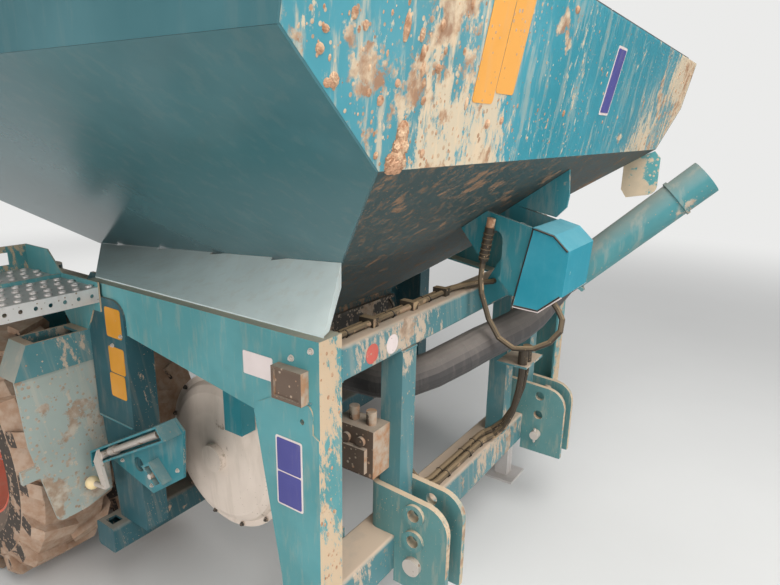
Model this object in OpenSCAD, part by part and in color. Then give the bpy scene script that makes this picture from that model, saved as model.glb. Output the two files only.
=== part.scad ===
// Front-mounted seed hopper unit with tyre packer. Millimetres, +X forward, +Y left, +Z up.
// Along X the sizes count from the lower link pins; at the end the model is moved to its own centre.

/* [Hitch] */
// Distance between the centres of the two lower link clevises
link_span = 965; // [900:5:1000]
// Height of the lower link pins over the ground when parked
pin_z = 385; // [370:5:400]
// Radius of a lower link pin
pin_r = 18.3; // [14:0.1:19]
// Inside width of a lower link clevis
clevis_gap = 72; // [72:1:90]
// Plate thickness of the clevises
clevis_t = 20; // [15:1:25]
// Distance between the lower and the upper holes of a clevis
hole_pitch = 84; // [78:1:90]
// Height of the top link pin over the lower link pins
mast_h = 800; // [780:5:810]
// Radius of the top link pin
top_pin_r = 15.9; // [12:0.1:16]

/* [Frame] */
// Width over the two side frames
frame_w = 1720; // [1680:5:1760]
// Depth of a side frame's folded section, across the machine
side_d = 80; // [70:1:90]
// Sheet thickness of the side frames
side_t = 8; // [5:1:10]
// Height of the side frames' upper ledge
ledge_z = 1145; // [1140:1:1150]
// Where the rear faces of the frame stand, in front of the lower link pins
rear_x = 67; // [60:1:75]
// Side length of the lower cross tube
low_tube = 120; // [100:1:125]
// Height of the lower cross tube's top
low_top = 455; // [450:1:460]
// Wall thickness of the frame's tubes
tube_t = 8; // [5:1:10]
// Height of the rear cross beam's section
beam_h = 90; // [80:1:95]
// Width of the rear cross beam's section
beam_w = 80; // [70:1:90]
// Height of the rear cross beam's top
beam_top = 1110; // [1100:1:1115]
// Side length of the link posts
post_w = 70; // [60:1:71]

/* [Hopper] */
// Width over the hopper
hopper_w = 2550; // [2500:10:2600]
// Height of the folds where the upright panels turn inwards
fold_z = 1710; // [1690:5:1730]
// Height of the upright panels, from the folds to the rim
rim_h = 185; // [120:5:240]
// Sheet thickness of the hopper
sheet = 4; // [3:0.5:5]
// Width of the rim's inward flange
rim_w = 55; // [40:1:70]
// Height of the closed lids over the rim
lid_h = 28; // [22:1:40]
// Height of the upright neck at the hopper's outlet
neck_h = 25; // [15:1:40]

/* [Platform] */
// Height of the treads' top
tread_z = 1135; // [1125:1:1140]
// Height of the treads' folded edges
tread_h = 45; // [35:1:50]
// Depth of one tread, from back to front
tread_w = 200; // [180:1:205]
// Width of the platform, from the front post outwards
platform_w = 365; // [340:1:380]

/* [Packer] */
// Distance from the lower link pins to the axle
axle_x = 1530; // [1525:5:1560]
// Radius of a tyre over its lugs
tyre_r = 480; // [465:1:485]
// Width of a tyre
tyre_w = 280; // [260:1:290]
// Width over the outer tyres
track_w = 2140; // [2100:5:2160]
// Free width between the two tyres of a pair
pair_gap = 120; // [110:1:130]
// Height of a lug over the tyre's body
lug_h = 24; // [18:1:28]
// Radius of a rim
rim_r = 250; // [235:1:260]

/* [Air] */
// Outer radius of the fan housing
fan_r = 270; // [255:1:275]
// Width of the fan housing
fan_w = 230; // [200:1:240]
// Radius of the air duct and the delivery pipe
duct_r = 58; // [50:1:60]

/* [Hidden] */

seat = 0.3; // clearance of what is seated but not in one plane

// the delivery pipe's lower and upper end; the upper one is the rear-most point of the whole
pipe_start = [-75, -420, 1075];
pipe_end = [-470, -560, 1460];
pipe_dir = (pipe_end - pipe_start) / norm(pipe_end - pipe_start);
pipe_r = duct_r + 4;
x_rear = pipe_end[0] - pipe_r * sqrt(1 - pipe_dir[0] * pipe_dir[0]);
x_mid = (x_rear + axle_x + tyre_r) / 2;

side_y = frame_w / 2;
side_in = side_y - side_d;
low_z = low_top - low_tube;
clevis_y = link_span / 2;
clevis_x = rear_x + post_w + 3 + clevis_t;
top_pin = [-150, pin_z + mast_h];

// hopper: rear panel, funnel planes of one steepness, upright neck at the bottom
rim_z = fold_z + rim_h;
hop_y = hopper_w / 2;
corner_x = -203;
corner_z = 1535;
rear_lean = 0.205; // how far the rear panel leans back for each unit of height
hop_rear = corner_x - (rim_z - corner_z) * rear_lean;
hop_front = 1750;
run = 1.394; // run of the rear funnel and end planes for each unit of height
corner = [corner_x, hop_y - (fold_z - corner_z) * run, corner_z]; // where rear, funnel and end planes meet
outlet_z = 955;
outlet_r = corner[0] + (corner_z - outlet_z) * run;
outlet_f = outlet_r + 200;
outlet_y = corner[1] - (corner_z - outlet_z) * run;
front_x = 1850;
front_low = [front_x, 1304];
knee = [1600, 1125]; // the floor over the packer beam ends here, and the front funnel plane begins
run_floor = (knee[0] - outlet_f) / (knee[1] - outlet_z);
run_front = (front_low[0] - knee[0]) / (front_low[1] - knee[1]);
function funnel_z(x) = corner_z - (x - corner[0]) / run;
function floor_z(x) = outlet_z + (x - outlet_f) / run_floor;
function rear_x_at(z) = corner_x - (z - corner_z) * rear_lean;
function end_y(z) = corner[1] - (corner_z - z) * run;

wheel_y = track_w / 2 - tyre_w - pair_gap / 2;
packer_top = 990;
packer_h = 100;
beam_x0 = 985;
beam_x1 = 1085;
leg_t = 80;
spindle_r = 30;
shaft_r = 15;

// a box given by its low and high corners
module block(lo, hi) {
    translate(lo)
        cube([hi[0] - lo[0], hi[1] - lo[1], hi[2] - lo[2]]);
}

// an outline in X and Z, as a plate from y upwards
module plate_xz(points, y, t) {
    translate([0, y + t, 0])
        rotate([90, 0, 0])
            linear_extrude(t)
                polygon(points);
}

// an outline in Y and Z, as a plate from x forwards
module plate_yz(points, x, t) {
    translate([x, 0, 0])
        rotate([90, 0, 90])
            linear_extrude(t)
                polygon(points);
}

// the points of an arc, and an outline drawn in by t (counter-clockwise points, mitred corners)
function unit(v) = v / norm(v);
function arc(c, r, a0, a1, n = 6) = [for (i = [0 : n]) c + r * [cos(a0 + (a1 - a0) * i / n), sin(a0 + (a1 - a0) * i / n)]];
function inset(p, t) = let (n = len(p)) [for (i = [0 : n - 1])
    let (u = unit(p[i] - p[(i + n - 1) % n]), v = unit(p[(i + 1) % n] - p[i]))
        p[i] + t / (1 + u * v) * [-(u + v)[1], (u + v)[0]]];

// a channel that is open towards the machine's middle: an outline in X and Z between y0 and y1
module channel(points, y0, y1, t) {
    difference() {
        plate_xz(points, y0, y1 - y0);
        plate_xz(inset(points, t), y0 - 1, y1 - y0 - t + 1);
    }
}

// a tube of w by h with round corners, across the machine
module cross_tube(x, z, w, h, y0, y1, t, r = 10) {
    translate([x, y1, z])
        rotate([90, 0, 0])
            linear_extrude(y1 - y0)
                difference() {
                    union() {
                        translate([r, 0])
                            square([w - 2 * r, h]);
                        translate([0, r])
                            square([w, h - 2 * r]);
                        for (i = [r, w - r])
                            for (j = [r, h - r])
                                translate([i, j])
                                    circle(r, $fn = 32);
                    }
                    translate([t, t])
                        square([w - 2 * t, h - 2 * t]);
                }
}

// a hole or pin across the machine, from y0 to y1
module across(x, z, r, y0, y1) {
    translate([x, y1, z])
        rotate([90, 0, 0])
            cylinder(h = y1 - y0, r = r, $fn = 48);
}

// a round pipe or hose along the points p, as one surface of n sides
function along(p, i) = unit(p[min(i + 1, len(p) - 1)] - p[max(i - 1, 0)]);
function aside(p, i) = let (t = along(p, i), u = i == 0 ? (abs(t[2]) > 0.8 ? [1, 0, 0] : [0, 0, 1]) : aside(p, i - 1))
    unit(u - (u * t) * t);
module sweep(p, r, n = 12) {
    m = len(p);
    pts = [for (i = [0 : m - 1])
        let (t = along(p, i), v = aside(p, i), u = cross(t, v))
        for (k = [0 : n - 1]) p[i] + r * (cos(360 * k / n) * u + sin(360 * k / n) * v)];
    sides = [for (i = [0 : m - 2]) for (k = [0 : n - 1])
        let (a = i * n + k, b = i * n + (k + 1) % n) each [[a, b, b + n], [a, b + n, a + n]]];
    polyhedron(points = pts, faces = concat([[for (k = [n - 1 : -1 : 0]) k]], sides,
        [[for (k = [0 : n - 1]) (m - 1) * n + k]]));
}

// a round bar or pipe from a to b
module rod(a, b, r) {
    d = b - a;
    l = norm(d);
    translate(a)
        rotate([0, acos(d[2] / l), atan2(d[1], d[0])])
            cylinder(h = l, r = r, $fn = 32);
}

module mirror_y(side) {
    if (side > 0)
        children();
    else
        mirror([0, 1, 0]) children();
}

// the hopper's form between its rear and front planes, and between its end planes, drawn in by t
function lift(t, r = run) = t * (sqrt(1 + r * r) - 1) / r;
function slant(r) = sqrt(1 + r * r) / r;
function knee_in(t) = let (dx = t * (slant(run_front) - slant(run_floor)) / (1 / run_floor - 1 / run_front))
    [knee[0] + dx, knee[1] + dx / run_floor + t * slant(run_floor)];
module between_rear_and_front(t) {
    plate_xz([[rear_x_at(rim_z + t) + t, rim_z + t], [corner[0] + t, corner_z + lift(t)],
        [outlet_r + t, outlet_z + lift(t)], [outlet_r + t, outlet_z - neck_h - t],
        [outlet_f - t, outlet_z - neck_h - t], [outlet_f - t, outlet_z + lift(t, run_floor)],
        knee_in(t), [front_low[0] - t, front_low[1] + lift(t, run_front)], [hop_front - t, rim_z + t]], -hop_y - 1, hopper_w + 2);
}
module between_ends(t) {
    plate_yz([[-hop_y + t, rim_z + t], [-hop_y + t, fold_z + lift(t)], [-outlet_y + t, outlet_z + lift(t)],
        [-outlet_y + t, outlet_z - neck_h - t], [outlet_y - t, outlet_z - neck_h - t],
        [outlet_y - t, outlet_z + lift(t)], [hop_y - t, fold_z + lift(t)], [hop_y - t, rim_z + t]],
        hop_rear - 1, front_x - hop_rear + 2);
}

// the end sheets run through; rear, front and funnel sheets stand between them
module end_sheets() {
    difference() {
        intersection() {
            between_rear_and_front(0);
            between_ends(0);
        }
        between_ends(sheet);
        block([hop_rear - 1, -hop_y - 1, rim_z], [front_x + 1, hop_y + 1, rim_z + 10]);
    }
}
module cross_sheets(x0, x1, z0, z1) {
    difference() {
        intersection() {
            between_rear_and_front(0);
            between_ends(sheet + seat);
            block([x0, -hop_y, z0], [x1, hop_y, z1]);
        }
        between_rear_and_front(sheet);
    }
}

module hopper_ends() {
    color("darkcyan")
        difference() {
            end_sheets();
            block([hop_rear - 1, -hop_y - 1, fold_z - seat], [front_x + 1, hop_y + 1, fold_z]);
        }
}

module hopper_rear() {
    color("darkturquoise")
        cross_sheets(hop_rear, corner[0] + 20, corner_z, rim_z);
}

module hopper_front() {
    color("darkcyan")
        cross_sheets(hop_front - 100, front_x, front_low[1] + seat, rim_z);
}

module hopper_funnel() {
    color("darkslategray") {
        cross_sheets(corner[0], outlet_r + 50, outlet_z - neck_h, corner_z);
        cross_sheets(outlet_f - 50, knee[0] + 50, outlet_z - neck_h, knee[1]);
        cross_sheets(knee[0] - 50, front_x, knee[1] + seat, front_low[1]);
    }
}

rim_t = 5;
hinge_x = hop_front - 14;
hinge_z = rim_z + 17;
hinge_ys = [200, hop_y - 225];
module hopper_rim() {
    color("teal")
        difference() {
            block([hop_rear, -hop_y, rim_z], [hop_front, hop_y, rim_z + rim_t]);
            for (side = [-1, 1])
                mirror_y(side)
                    block([hop_rear + rim_w, 25, rim_z - 1], [hop_front - rim_w, hop_y - rim_w, rim_z + rim_t + 1]);
        }
    color("silver")
        for (side = [-1, 1])
            mirror_y(side)
                for (y = hinge_ys) {
                    across(hinge_x, hinge_z, 5, y - 52, y + 52);
                    for (s = [-1, 1]) {
                        across(hinge_x, hinge_z, 9, y + s * 42 - 10, y + s * 42 + 10);
                        block([hinge_x - 7, y + s * 42 - 10, rim_z + rim_t], [hinge_x + 7, y + s * 42 + 10, hinge_z]);
                    }
                }
}

// plates that carry the funnel on the packer beam, and the flap that hangs at the far rear corner
flap_in = 27.05; // how far the flap hangs inside the corner where rear, funnel and end planes meet
flap_y = flap_in - corner[1];
module hopper_supports() {
    p0 = beam_x0 + 5;
    p1 = beam_x1 - 5;
    under = corner_z - (corner[1] + flap_y + 4) / run - seat; // the end panel's height over the flap
    front = corner_x + (corner_z - under) * run;
    color("darkcyan") {
        for (y = [-360, 348])
            plate_xz([[p0, packer_top], [p1, packer_top], [p1, floor_z(p1) - seat],
                [p0, floor_z(p0) - seat]], y, 12);
        plate_xz(concat([[-86, under], [front, under], [corner_x - 4, under + 16], [-233, under - 12], [-233, 1385]],
            arc([-190, 1385], 43, 180, 250, 4), [[-110, 1326], [-86, 1360]]), flap_y, 4);
    }
}

// skirts from the end panels out to the side frames: ruled sheets with slots for tabs and a rear flange
skirt_t = 4;
skirt_x = [150, 1580];
skirt_in = [183, 400]; // how far the upper edge lies inside the side frame, rear and front
function end_z(y) = corner_z - (corner[1] - y) / run;
module sheet_between(a, b, n, depth) {
    m = n + 1;
    pts = concat(a, b, [for (v = a) v + depth], [for (v = b) v + depth]);
    faces = concat([for (i = [0 : n - 1]) each [[i, i + 1, m + i], [i + 1, m + i + 1, m + i]]],
        [for (i = [0 : n - 1]) each [[2 * m + i, 3 * m + i, 2 * m + i + 1], [2 * m + i + 1, 3 * m + i, 3 * m + i + 1]]],
        [for (i = [0 : n - 1]) each [[i, 2 * m + i, 2 * m + i + 1, i + 1], [m + i, m + i + 1, 3 * m + i + 1, 3 * m + i]]],
        [[0, m, 3 * m, 2 * m], [n, 2 * m + n, 3 * m + n, m + n]]);
    polyhedron(points = pts, faces = faces);
}
module skirts() {
    n = 20;
    y = side_y - 28;
    in = [side_y - skirt_in[0], side_y - skirt_in[1]];
    low = [for (i = [0 : n]) [rear_x + 10 + i / n * (beam_x0 - rear_x - 10), y, ledge_z + skirt_t]];
    high = [for (i = [0 : n]) let (w = in[0] + i / n * (in[1] - in[0]))
        [skirt_x[0] + i / n * (skirt_x[1] - skirt_x[0]), w + 1, end_z(w)]];
    color("cadetblue")
        for (side = [-1, 1])
            mirror_y(side) {
                difference() {
                    sheet_between(low, high, n, [0, 0, -skirt_t]);
                    block([rear_x, side_in - 1, ledge_z - 20], [beam_x0 + seat, side_y + 1, ledge_z + seat]);
                    for (k = [0.17, 0.385, 0.63, 0.87])
                        let (a = high[0] + k * (high[n] - high[0]))
                            block([a[0] - 36, a[1] - 8, a[2] - 20], [a[0] + 36, a[1] + 5, a[2] + 20]);
                }
                sheet_between([low[0], high[0]], [low[0] + [14, -36, 0], high[0] - [0, 0, 62]], 1, [skirt_t, 0, 0]);
            }
}

module side_frame(side) {
    outer = [[rear_x, low_z], [rear_x + low_tube, low_z], [rear_x + low_tube + 13, 480], [277, 925],
        [800, 1005], [beam_x0, 1035], [beam_x0, ledge_z], [rear_x, ledge_z]];
    leaf = concat([[rear_x, low_z], [rear_x + low_tube, low_z], [rear_x + low_tube + 13, 480], [277, 925],
        [262, 952], [190, 988]], arc([112, 964], 26, 80, 180, 4), [[86, 915], [rear_x, 905]]);
    color("teal")
        mirror_y(side)
            difference() {
                union() {
                    channel(outer, side_in, side_y, side_t);
                    plate_xz(leaf, side_y, 4);
                }
                for (p = [[150, 1090], [90, 1120], [930, 1120], [118, 940]])
                    across(p[0], p[1], 7, side_y - side_t - 1, side_y + 5);
            }
}

// lower cross tube, with the sockets of the parking stands on its front
socket_y = 660;
socket_w = 80;
stand_w = 60;
stand_x = rear_x + low_tube + socket_w / 2;
module lower_cross_tube() {
    h = stand_w / 2 + seat;
    color("teal") {
        cross_tube(rear_x, low_z, low_tube, low_tube, -side_in, side_in, tube_t);
        for (side = [-1, 1])
            mirror_y(side)
                difference() {
                    block([rear_x + low_tube, socket_y - socket_w / 2, 300],
                        [rear_x + low_tube + socket_w, socket_y + socket_w / 2, 480]);
                    block([stand_x - h, socket_y - h, 299], [stand_x + h, socket_y + h, 481]);
                    for (z = [330, 450])
                        across(stand_x, z, 6.5, socket_y - socket_w, socket_y + socket_w);
                }
    }
}

// rear cross beam with its three posts and the plate for the hose couplers
post_ys = [-clevis_y, -247, clevis_y];
plate_z = 790;
module rear_frame() {
    h = beam_top - beam_h - low_top;
    color("teal") {
        cross_tube(rear_x, beam_top - beam_h, beam_w, beam_h, -side_in, side_in, tube_t);
        for (y = post_ys)
            translate([0, 0, low_top])
                difference() {
                    block([rear_x, y - post_w / 2, 0], [rear_x + post_w, y + post_w / 2, h]);
                    block([rear_x + tube_t, y - post_w / 2 + tube_t, tube_t],
                        [rear_x + post_w - tube_t, y + post_w / 2 - tube_t, h - tube_t]);
                }
        difference() {
            block([-45, post_ys[1] - 35, plate_z - 8], [rear_x + 1, post_ys[1] + 125, plate_z]);
            for (row = hose_rows)
                translate([-20, post_ys[1] + row[2], plate_z - 9])
                    cylinder(h = 10, r = hose_r + 1, $fn = 32);
        }
    }
}

// one clevis: a plate folded round the post, with collars on its two upper holes
clevis_rear = -105;
clevis_top = 605;
collar_h = 10;
module clevis(side) {
    w = clevis_gap / 2 + clevis_t;
    bend = 30;
    outline = concat([[clevis_rear, 300], [clevis_x, 300], [clevis_x, clevis_top], [clevis_rear + 75, clevis_top - 12]],
        arc([clevis_rear + 75, clevis_top - 87], 75, 100, 180, 6));
    color("teal")
        mirror_y(side)
            difference() {
                translate([0, clevis_y, 0])
                    difference() {
                        union() {
                            plate_xz(outline, -w, 2 * w);
                            for (k = [1, 2])
                                across(0, pin_z + k * hole_pitch, pin_r + 14, w - 1, w + collar_h);
                        }
                        block([clevis_rear - 1, -clevis_gap / 2, 299],
                            [clevis_x - clevis_t, clevis_gap / 2, clevis_top + 1]);
                        for (s = [-1, 1])
                            translate([clevis_x - bend, s * (w - bend), 299])
                                difference() {
                                    translate([0, s > 0 ? 0 : -bend - 1, 0])
                                        cube([bend + 1, bend + 1, clevis_top - 290]);
                                    translate([0, 0, -1])
                                        cylinder(h = clevis_top, r = bend, $fn = 48);
                                }
                        for (k = [0, 1, 2])
                            across(0, pin_z + k * hole_pitch, pin_r + seat, -w - 1, w + collar_h + 1);
                    }
                block([rear_x, clevis_y - w - 1, 299], [clevis_x + 1, clevis_y + w + 1, low_top]);
            }
}

module link_pins() {
    w = clevis_gap / 2 + clevis_t;
    color("silver") {
        for (side = [-1, 1])
            mirror_y(side)
                translate([0, clevis_y, 0]) {
                    across(0, pin_z, pin_r, -w - 30, w + 16);
                    across(0, pin_z, pin_r + 9, w, w + 16);
                    rod([0, -w - 22, pin_z - pin_r - 12], [0, -w - 22, pin_z + pin_r + 12], 5);
                }
        across(top_pin[0], top_pin[1], top_pin_r, -65, 65);
        across(top_pin[0], top_pin[1], top_pin_r + 8, -58, -48);
    }
}

// the tower: two plates under the funnel, cheeks that hold the top link pin, a web between them
tower_y = 100;
tower_t = 12;
cheek_y = 32;
cheek_t = 15;
module top_link_tower() {
    hole = [5, 1228]; // middle of the long hole
    plate = [[-67, 1110], [59, 1228], [120, funnel_z(120) - 2], [35, funnel_z(35) - 2], [-113, 1326], [-95, 1110]];
    rib = [[-109, 1334], [35, funnel_z(35) - 2], [-139, funnel_z(-139) - 2], [-145, 1406], [-140, 1368]];
    cheek = [[rear_x, beam_top - beam_h + 10], [rear_x, beam_top - 10], [-40, 1290], [-60, 1290], [-190, 1225],
        [-190, 1150], [-150, 1110], [-20, 1090]];
    web_x = -60;
    color("teal") {
        for (side = [-1, 1])
            mirror_y(side) {
                difference() {
                    plate_xz(plate, tower_y, tower_t);
                    for (s = [-1, 1])
                        across(hole[0], hole[1] + s * 50, 28, tower_y - 1, tower_y + tower_t + 1);
                    block([hole[0] - 28, tower_y - 1, hole[1] - 50], [hole[0] + 28, tower_y + tower_t + 1, hole[1] + 50]);
                }
                difference() {
                    plate_xz(cheek, cheek_y, cheek_t);
                    across(top_pin[0], top_pin[1], top_pin_r + seat, cheek_y - 1, cheek_y + cheek_t + 1);
                }
            }
        plate_xz(rib, -tower_y - tower_t, tower_t);
        block([web_x, -tower_y, 1130], [web_x + 12, tower_y, 1290]);
    }
}

module tower_cover() {
    t = 5;
    y = tower_y + tower_t + seat + t;
    outline = [[-73, 1077], [-119, 1329], [-184, 1313], [-231, 1270], [-222, 1132], [-154, 1074]];
    inner = inset(outline, t);
    color("darkturquoise")
        difference() {
            plate_xz(outline, -y, 2 * y);
            plate_xz(inner, -y + t, 2 * (y - t));
            plate_xz([[-60, 1095], [-110, 1319], inner[1], inner[0]], -y + t, 2 * (y - t));
        }
}

// metering unit: flange, box with two roller housings, end covers and the drive motor
meter_h = 215;
module metering_unit() {
    top = outlet_z - neck_h;
    roller_x = [outlet_r + 55, outlet_f - 55];
    roller_z = top - 75;
    y = outlet_y + 35;
    color("dimgray")
        difference() {
            union() {
                block([outlet_r - 10, -outlet_y - 10, top - 12], [outlet_f + 10, outlet_y + 10, top]);
                plate_xz([[outlet_r + 40, top - meter_h], [outlet_f - 40, top - meter_h], [outlet_f - 8, roller_z],
                    [outlet_f - 8, top - 12], [outlet_r + 8, top - 12], [outlet_r + 8, roller_z]],
                    -outlet_y + 10, 2 * outlet_y - 20);
                for (x = roller_x) {
                    across(x, roller_z, 44, -y, y);
                    across(x, roller_z, 52, y - 12, y);
                    across(x, roller_z, 52, -y, 12 - y);
                }
                across((outlet_r + outlet_f) / 2, top - meter_h + 45, 38, -y, y);
                across(roller_x[0], roller_z, 30, y, y + 70);
            }
            block([outlet_r + 25, -outlet_y + 25, top - 60], [outlet_f - 25, outlet_y - 25, top + 1]);
        }
}

fan_x = 700;
fan_z = 548;
fan_y = 600;
fan_out = [430, 580, 848]; // the outlet's low and high X, and its top
duct_start = [(fan_out[0] + fan_out[1]) / 2, fan_y - fan_w / 2, fan_out[2]];
duct_route = [duct_start, duct_start + [0, 0, 30], duct_start + [-45, -8, 62], [400, 470, 908],
    [320, 446, 878], [240, 400, 856], [172, 350, 851], [110, 276, 878], [54, 200, 915], [30, 110, 930],
    [10, 20, 938], [-8, -90, 944], [-18, -200, 960], [-25, -310, 995], pipe_start - pipe_dir * 45, pipe_start];
module air_duct() {
    color("slategray")
        sweep(duct_route, duct_r, 20);
}

module delivery_pipe() {
    bead = 110; // distance of the hose stop from the upper end
    wall = 4;
    color("darkturquoise")
        difference() {
            union() {
                rod(pipe_start, pipe_end, pipe_r);
                rod(pipe_end - pipe_dir * (bead + 12), pipe_end - pipe_dir * bead, pipe_r + 6);
                rod(pipe_start, pipe_start + pipe_dir * 12, pipe_r + 14);
            }
            rod(pipe_start - pipe_dir, pipe_end + pipe_dir, pipe_r - wall);
        }
}

// fan housing: a spiral that ends in the outlet on top
module fan_housing() {
    t = 6;
    r1 = fan_r - 8;
    spiral = [for (a = [-170 : 10 : 90]) [fan_x, fan_z] + (r1 - 34 * (90 - a) / 260) * [cos(a), sin(a)]];
    outer = concat(spiral, [[fan_out[1], fan_out[2]], [fan_out[0], fan_out[2]]]);
    color("tan")
        difference() {
            plate_xz(outer, fan_y - fan_w, fan_w);
            plate_xz(inset(outer, t), fan_y - fan_w + t, fan_w - 2 * t);
            across(fan_x, fan_z, shaft_r + seat, fan_y - t - 1, fan_y + 1);
            across(fan_x, fan_z, 150, fan_y - fan_w - 1, fan_y - fan_w + t + 1);
        }
}

// the fan's cover disc: flange, dished face and bearing hub
module fan_cone() {
    color("wheat")
        translate([fan_x, fan_y, fan_z])
            rotate([-90, 0, 0])
                difference() {
                    union() {
                        rotate_extrude($fn = 64)
                            polygon([[0, 0], [fan_r, 0], [fan_r, 10], [fan_r - 20, 10], [fan_r - 32, 28],
                                [fan_r - 55, 40], [fan_r - 120, 48], [0, 52]]);
                        cylinder(h = 74, r = 46, $fn = 48);
                        for (k = [0 : 11])
                            rotate([0, 0, 30 * k + 15])
                                translate([fan_r - 10, 0, 9])
                                    cylinder(h = 6, r = 7, $fn = 16);
                    }
                    translate([0, 0, -1])
                        cylinder(h = 42, r = shaft_r + seat, $fn = 48);
                }
}

module fan_guard() {
    color("black")
        translate([fan_x, fan_y - fan_w - 10, fan_z])
            rotate([-90, 0, 0]) {
                for (r = [60, 108, 156])
                    difference() {
                        cylinder(h = 10, r = r, $fn = 64);
                        translate([0, 0, -1])
                            cylinder(h = 12, r = r - 8, $fn = 64);
                    }
                for (a = [10, 70, 130])
                    rotate([0, 0, a])
                        translate([-153, -3, 3])
                            cube([306, 6, 4]);
            }
}

module fan_rotor() {
    r = 205;
    color("silver")
        translate([fan_x, fan_y - 16, fan_z])
            rotate([90, 0, 0]) {
                translate([0, 0, -16 - 40])
                    cylinder(h = 60, r = shaft_r, $fn = 48);
                cylinder(h = 6, r = r, $fn = 64);
                cylinder(h = fan_w - 40, r = 35, $fn = 48);
                for (k = [0 : 9])
                    rotate([0, 0, 36 * k + 5])
                        translate([30, -3, 5])
                            cube([r - 32, 6, fan_w - 60]);
            }
}

// the post that hangs from the side frame and holds the fan's cover
module fan_hanger() {
    x = [515, 590];
    y = [fan_y + 46, fan_y + 100];
    t = 5;
    color("teal") {
        difference() {
            block([x[0], y[0], 700], [x[1], y[1], 1060]);
            block([x[0] + t, y[0] + t, 699], [x[1] - t, y[1] - t, 1060 - t]);
        }
        difference() {
            block([x[0], y[1], 1000], [x[1], side_y - side_t, 1060]);
            block([x[0] + t, y[1] - 1, 1000 + t], [x[1] - t, side_y - side_t + 1, 1060 - t]);
        }
        block([x[0] + 45, fan_y + 10 + seat, fan_z + 224], [x[0] + 65, y[0] + 1, fan_z + 242]);
    }
}

block_at = [rear_x + 38, clevis_y + post_w / 2, 655];
block_size = [140, 80, 145];
module hydraulic_block() {
    c = block_at + block_size / 2;
    color("sienna") {
        block(block_at, block_at + block_size);
        block(block_at + [20, block_size[1] - 1, 15], block_at + [95, block_size[1] + 14, 90]);
        for (p = [[-30, 35], [20, 35], [-30, -30]])
            across(c[0] + p[0], c[2] + p[1], 14, c[1] + block_size[1] / 2 - 1, c[1] + block_size[1] / 2 + 10);
        rod([c[0] - 35, c[1], block_at[2] + block_size[2] - 1], [c[0] - 35, c[1], block_at[2] + block_size[2] + 40], 15);
        rod([c[0] + 25, c[1], block_at[2] + block_size[2] - 1], [c[0] + 25, c[1], block_at[2] + block_size[2] + 40], 15);
        rod(block_at + [60, -31, 60], block_at + [60, 1, 60], 16);
        rod(block_at + [100, -31, 60], block_at + [100, 1, 60], 16);
    }
}

// hoses from the valve block over the lower cross tube to the couplers, cable of the drive, and harness
hose_r = 12;
hose_rows = [[60, 95, 100], [100, 122, 60]]; // distance along the block, X on the tube, coupler from the post
harness = [[105, 9], [128, 6]]; // X on the rear cross beam, radius
module hoses() {
    z = low_top + hose_r + seat;
    b = block_at - [0, 31 + seat, -60];
    color("black")
        for (row = hose_rows) {
            x = row[1];
            y = post_ys[1] + row[2];
            k = (x - 95) / 27;
            sweep([b + [row[0], 0, 0], b + [row[0], -18, 0], b + [row[0] - 8, -48, -20], [x + 55, clevis_y - 90, 630],
                [x + 35, clevis_y - 120, 560], [x + 15, clevis_y - 155, 505], [x + 4, clevis_y - 195, z + 8],
                [x, clevis_y - 240, z], [x, 60, z], [x, y + 60, z], [x - 7, y + 32, z + 3], [x - 33, y + 12, z + 18],
                [x - 65 - 8 * k, y + 2, z + 60], [x - 93 - 16 * k, y, z + 130], [x - 109 - 25 * k, y, z + 220],
                [-20, y, plate_z - 40], [-20, y, plate_z - 8]], hose_r, 8);
            rod([-20, y, plate_z + seat], [-20, y, plate_z + 60], 17);
        }
    color("dimgray") {
        rod([14, tower_y + tower_t + 16, 1316], [30, tower_y + tower_t + 16, 1212], 15);
        block([12, tower_y + tower_t, 1250], [34, tower_y + tower_t + 16, 1280]);
        sweep([[29, 128, 1216], [31, 129, 1200], [31, 133, 1185], [28, 142, 1150], [18, 150, 1111], [-8, 146, 1035],
            [-45, 142, 978], [-96, 140, 953], [-157, 134, 964], [-200, 124, 990], [-226, 112, 1028], [-225, 101, 1062],
            [-208.4, 96, 1087.2], [-192.2, 96, 1106.2]], 9, 8);
    }
    color("black")
        for (h = harness) {
            x = h[0];
            zb = beam_top + h[1] + seat;
            sweep([[x, side_y - side_t - seat, zb], [x, side_in, zb], [x, 260, zb], [x, 190, zb], [x - 12, 145, zb + 2],
                [x - 40, 108, zb + 8], [x - 68, 78, zb + 12], [x - 80, 60, zb + 12], [x - 80, cheek_y + cheek_t + seat, zb + 12]],
                h[1], 8);
        }
    color("saddlebrown")
        for (y = [225, 410, 600])
            block([90, y, beam_top], [136, y + 24, beam_top + 24]);
}

lamp = [[99, 987], [192, 1071]]; // low and high X and Z of the square lamps beside the leaves
module side_lamps() {
    color("saddlebrown")
        for (side = [-1, 1])
            mirror_y(side) {
                difference() {
                    block([lamp[0][0], side_y, lamp[0][1] + 3], [lamp[1][0], side_y + 26, lamp[1][1]]);
                    block([lamp[0][0] + 8, side_y + 20, lamp[0][1] + 11], [lamp[1][0] - 8, side_y + 27, lamp[1][1] - 8]);
                }
            }
}

module packer_beam() {
    z = packer_top - packer_h;
    y = [track_w / 2 + 30, track_w / 2 - 14]; // half the length below and on top
    color("cadetblue")
        difference() {
            plate_yz([[-y[0], z], [y[0], z], [y[1], packer_top], [-y[1], packer_top]], beam_x0, beam_x1 - beam_x0);
            block([beam_x0 + tube_t, -y[1] + 25, z + tube_t], [beam_x1 - tube_t, y[1] - 25, packer_top - tube_t]);
            for (side = [-1, 1])
                mirror_y(side)
                    block([beam_x0 + tube_t, side_y + 40, z + 60], [beam_x1 - tube_t, y[1] - 25, packer_top + 1]);
        }
}

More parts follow.
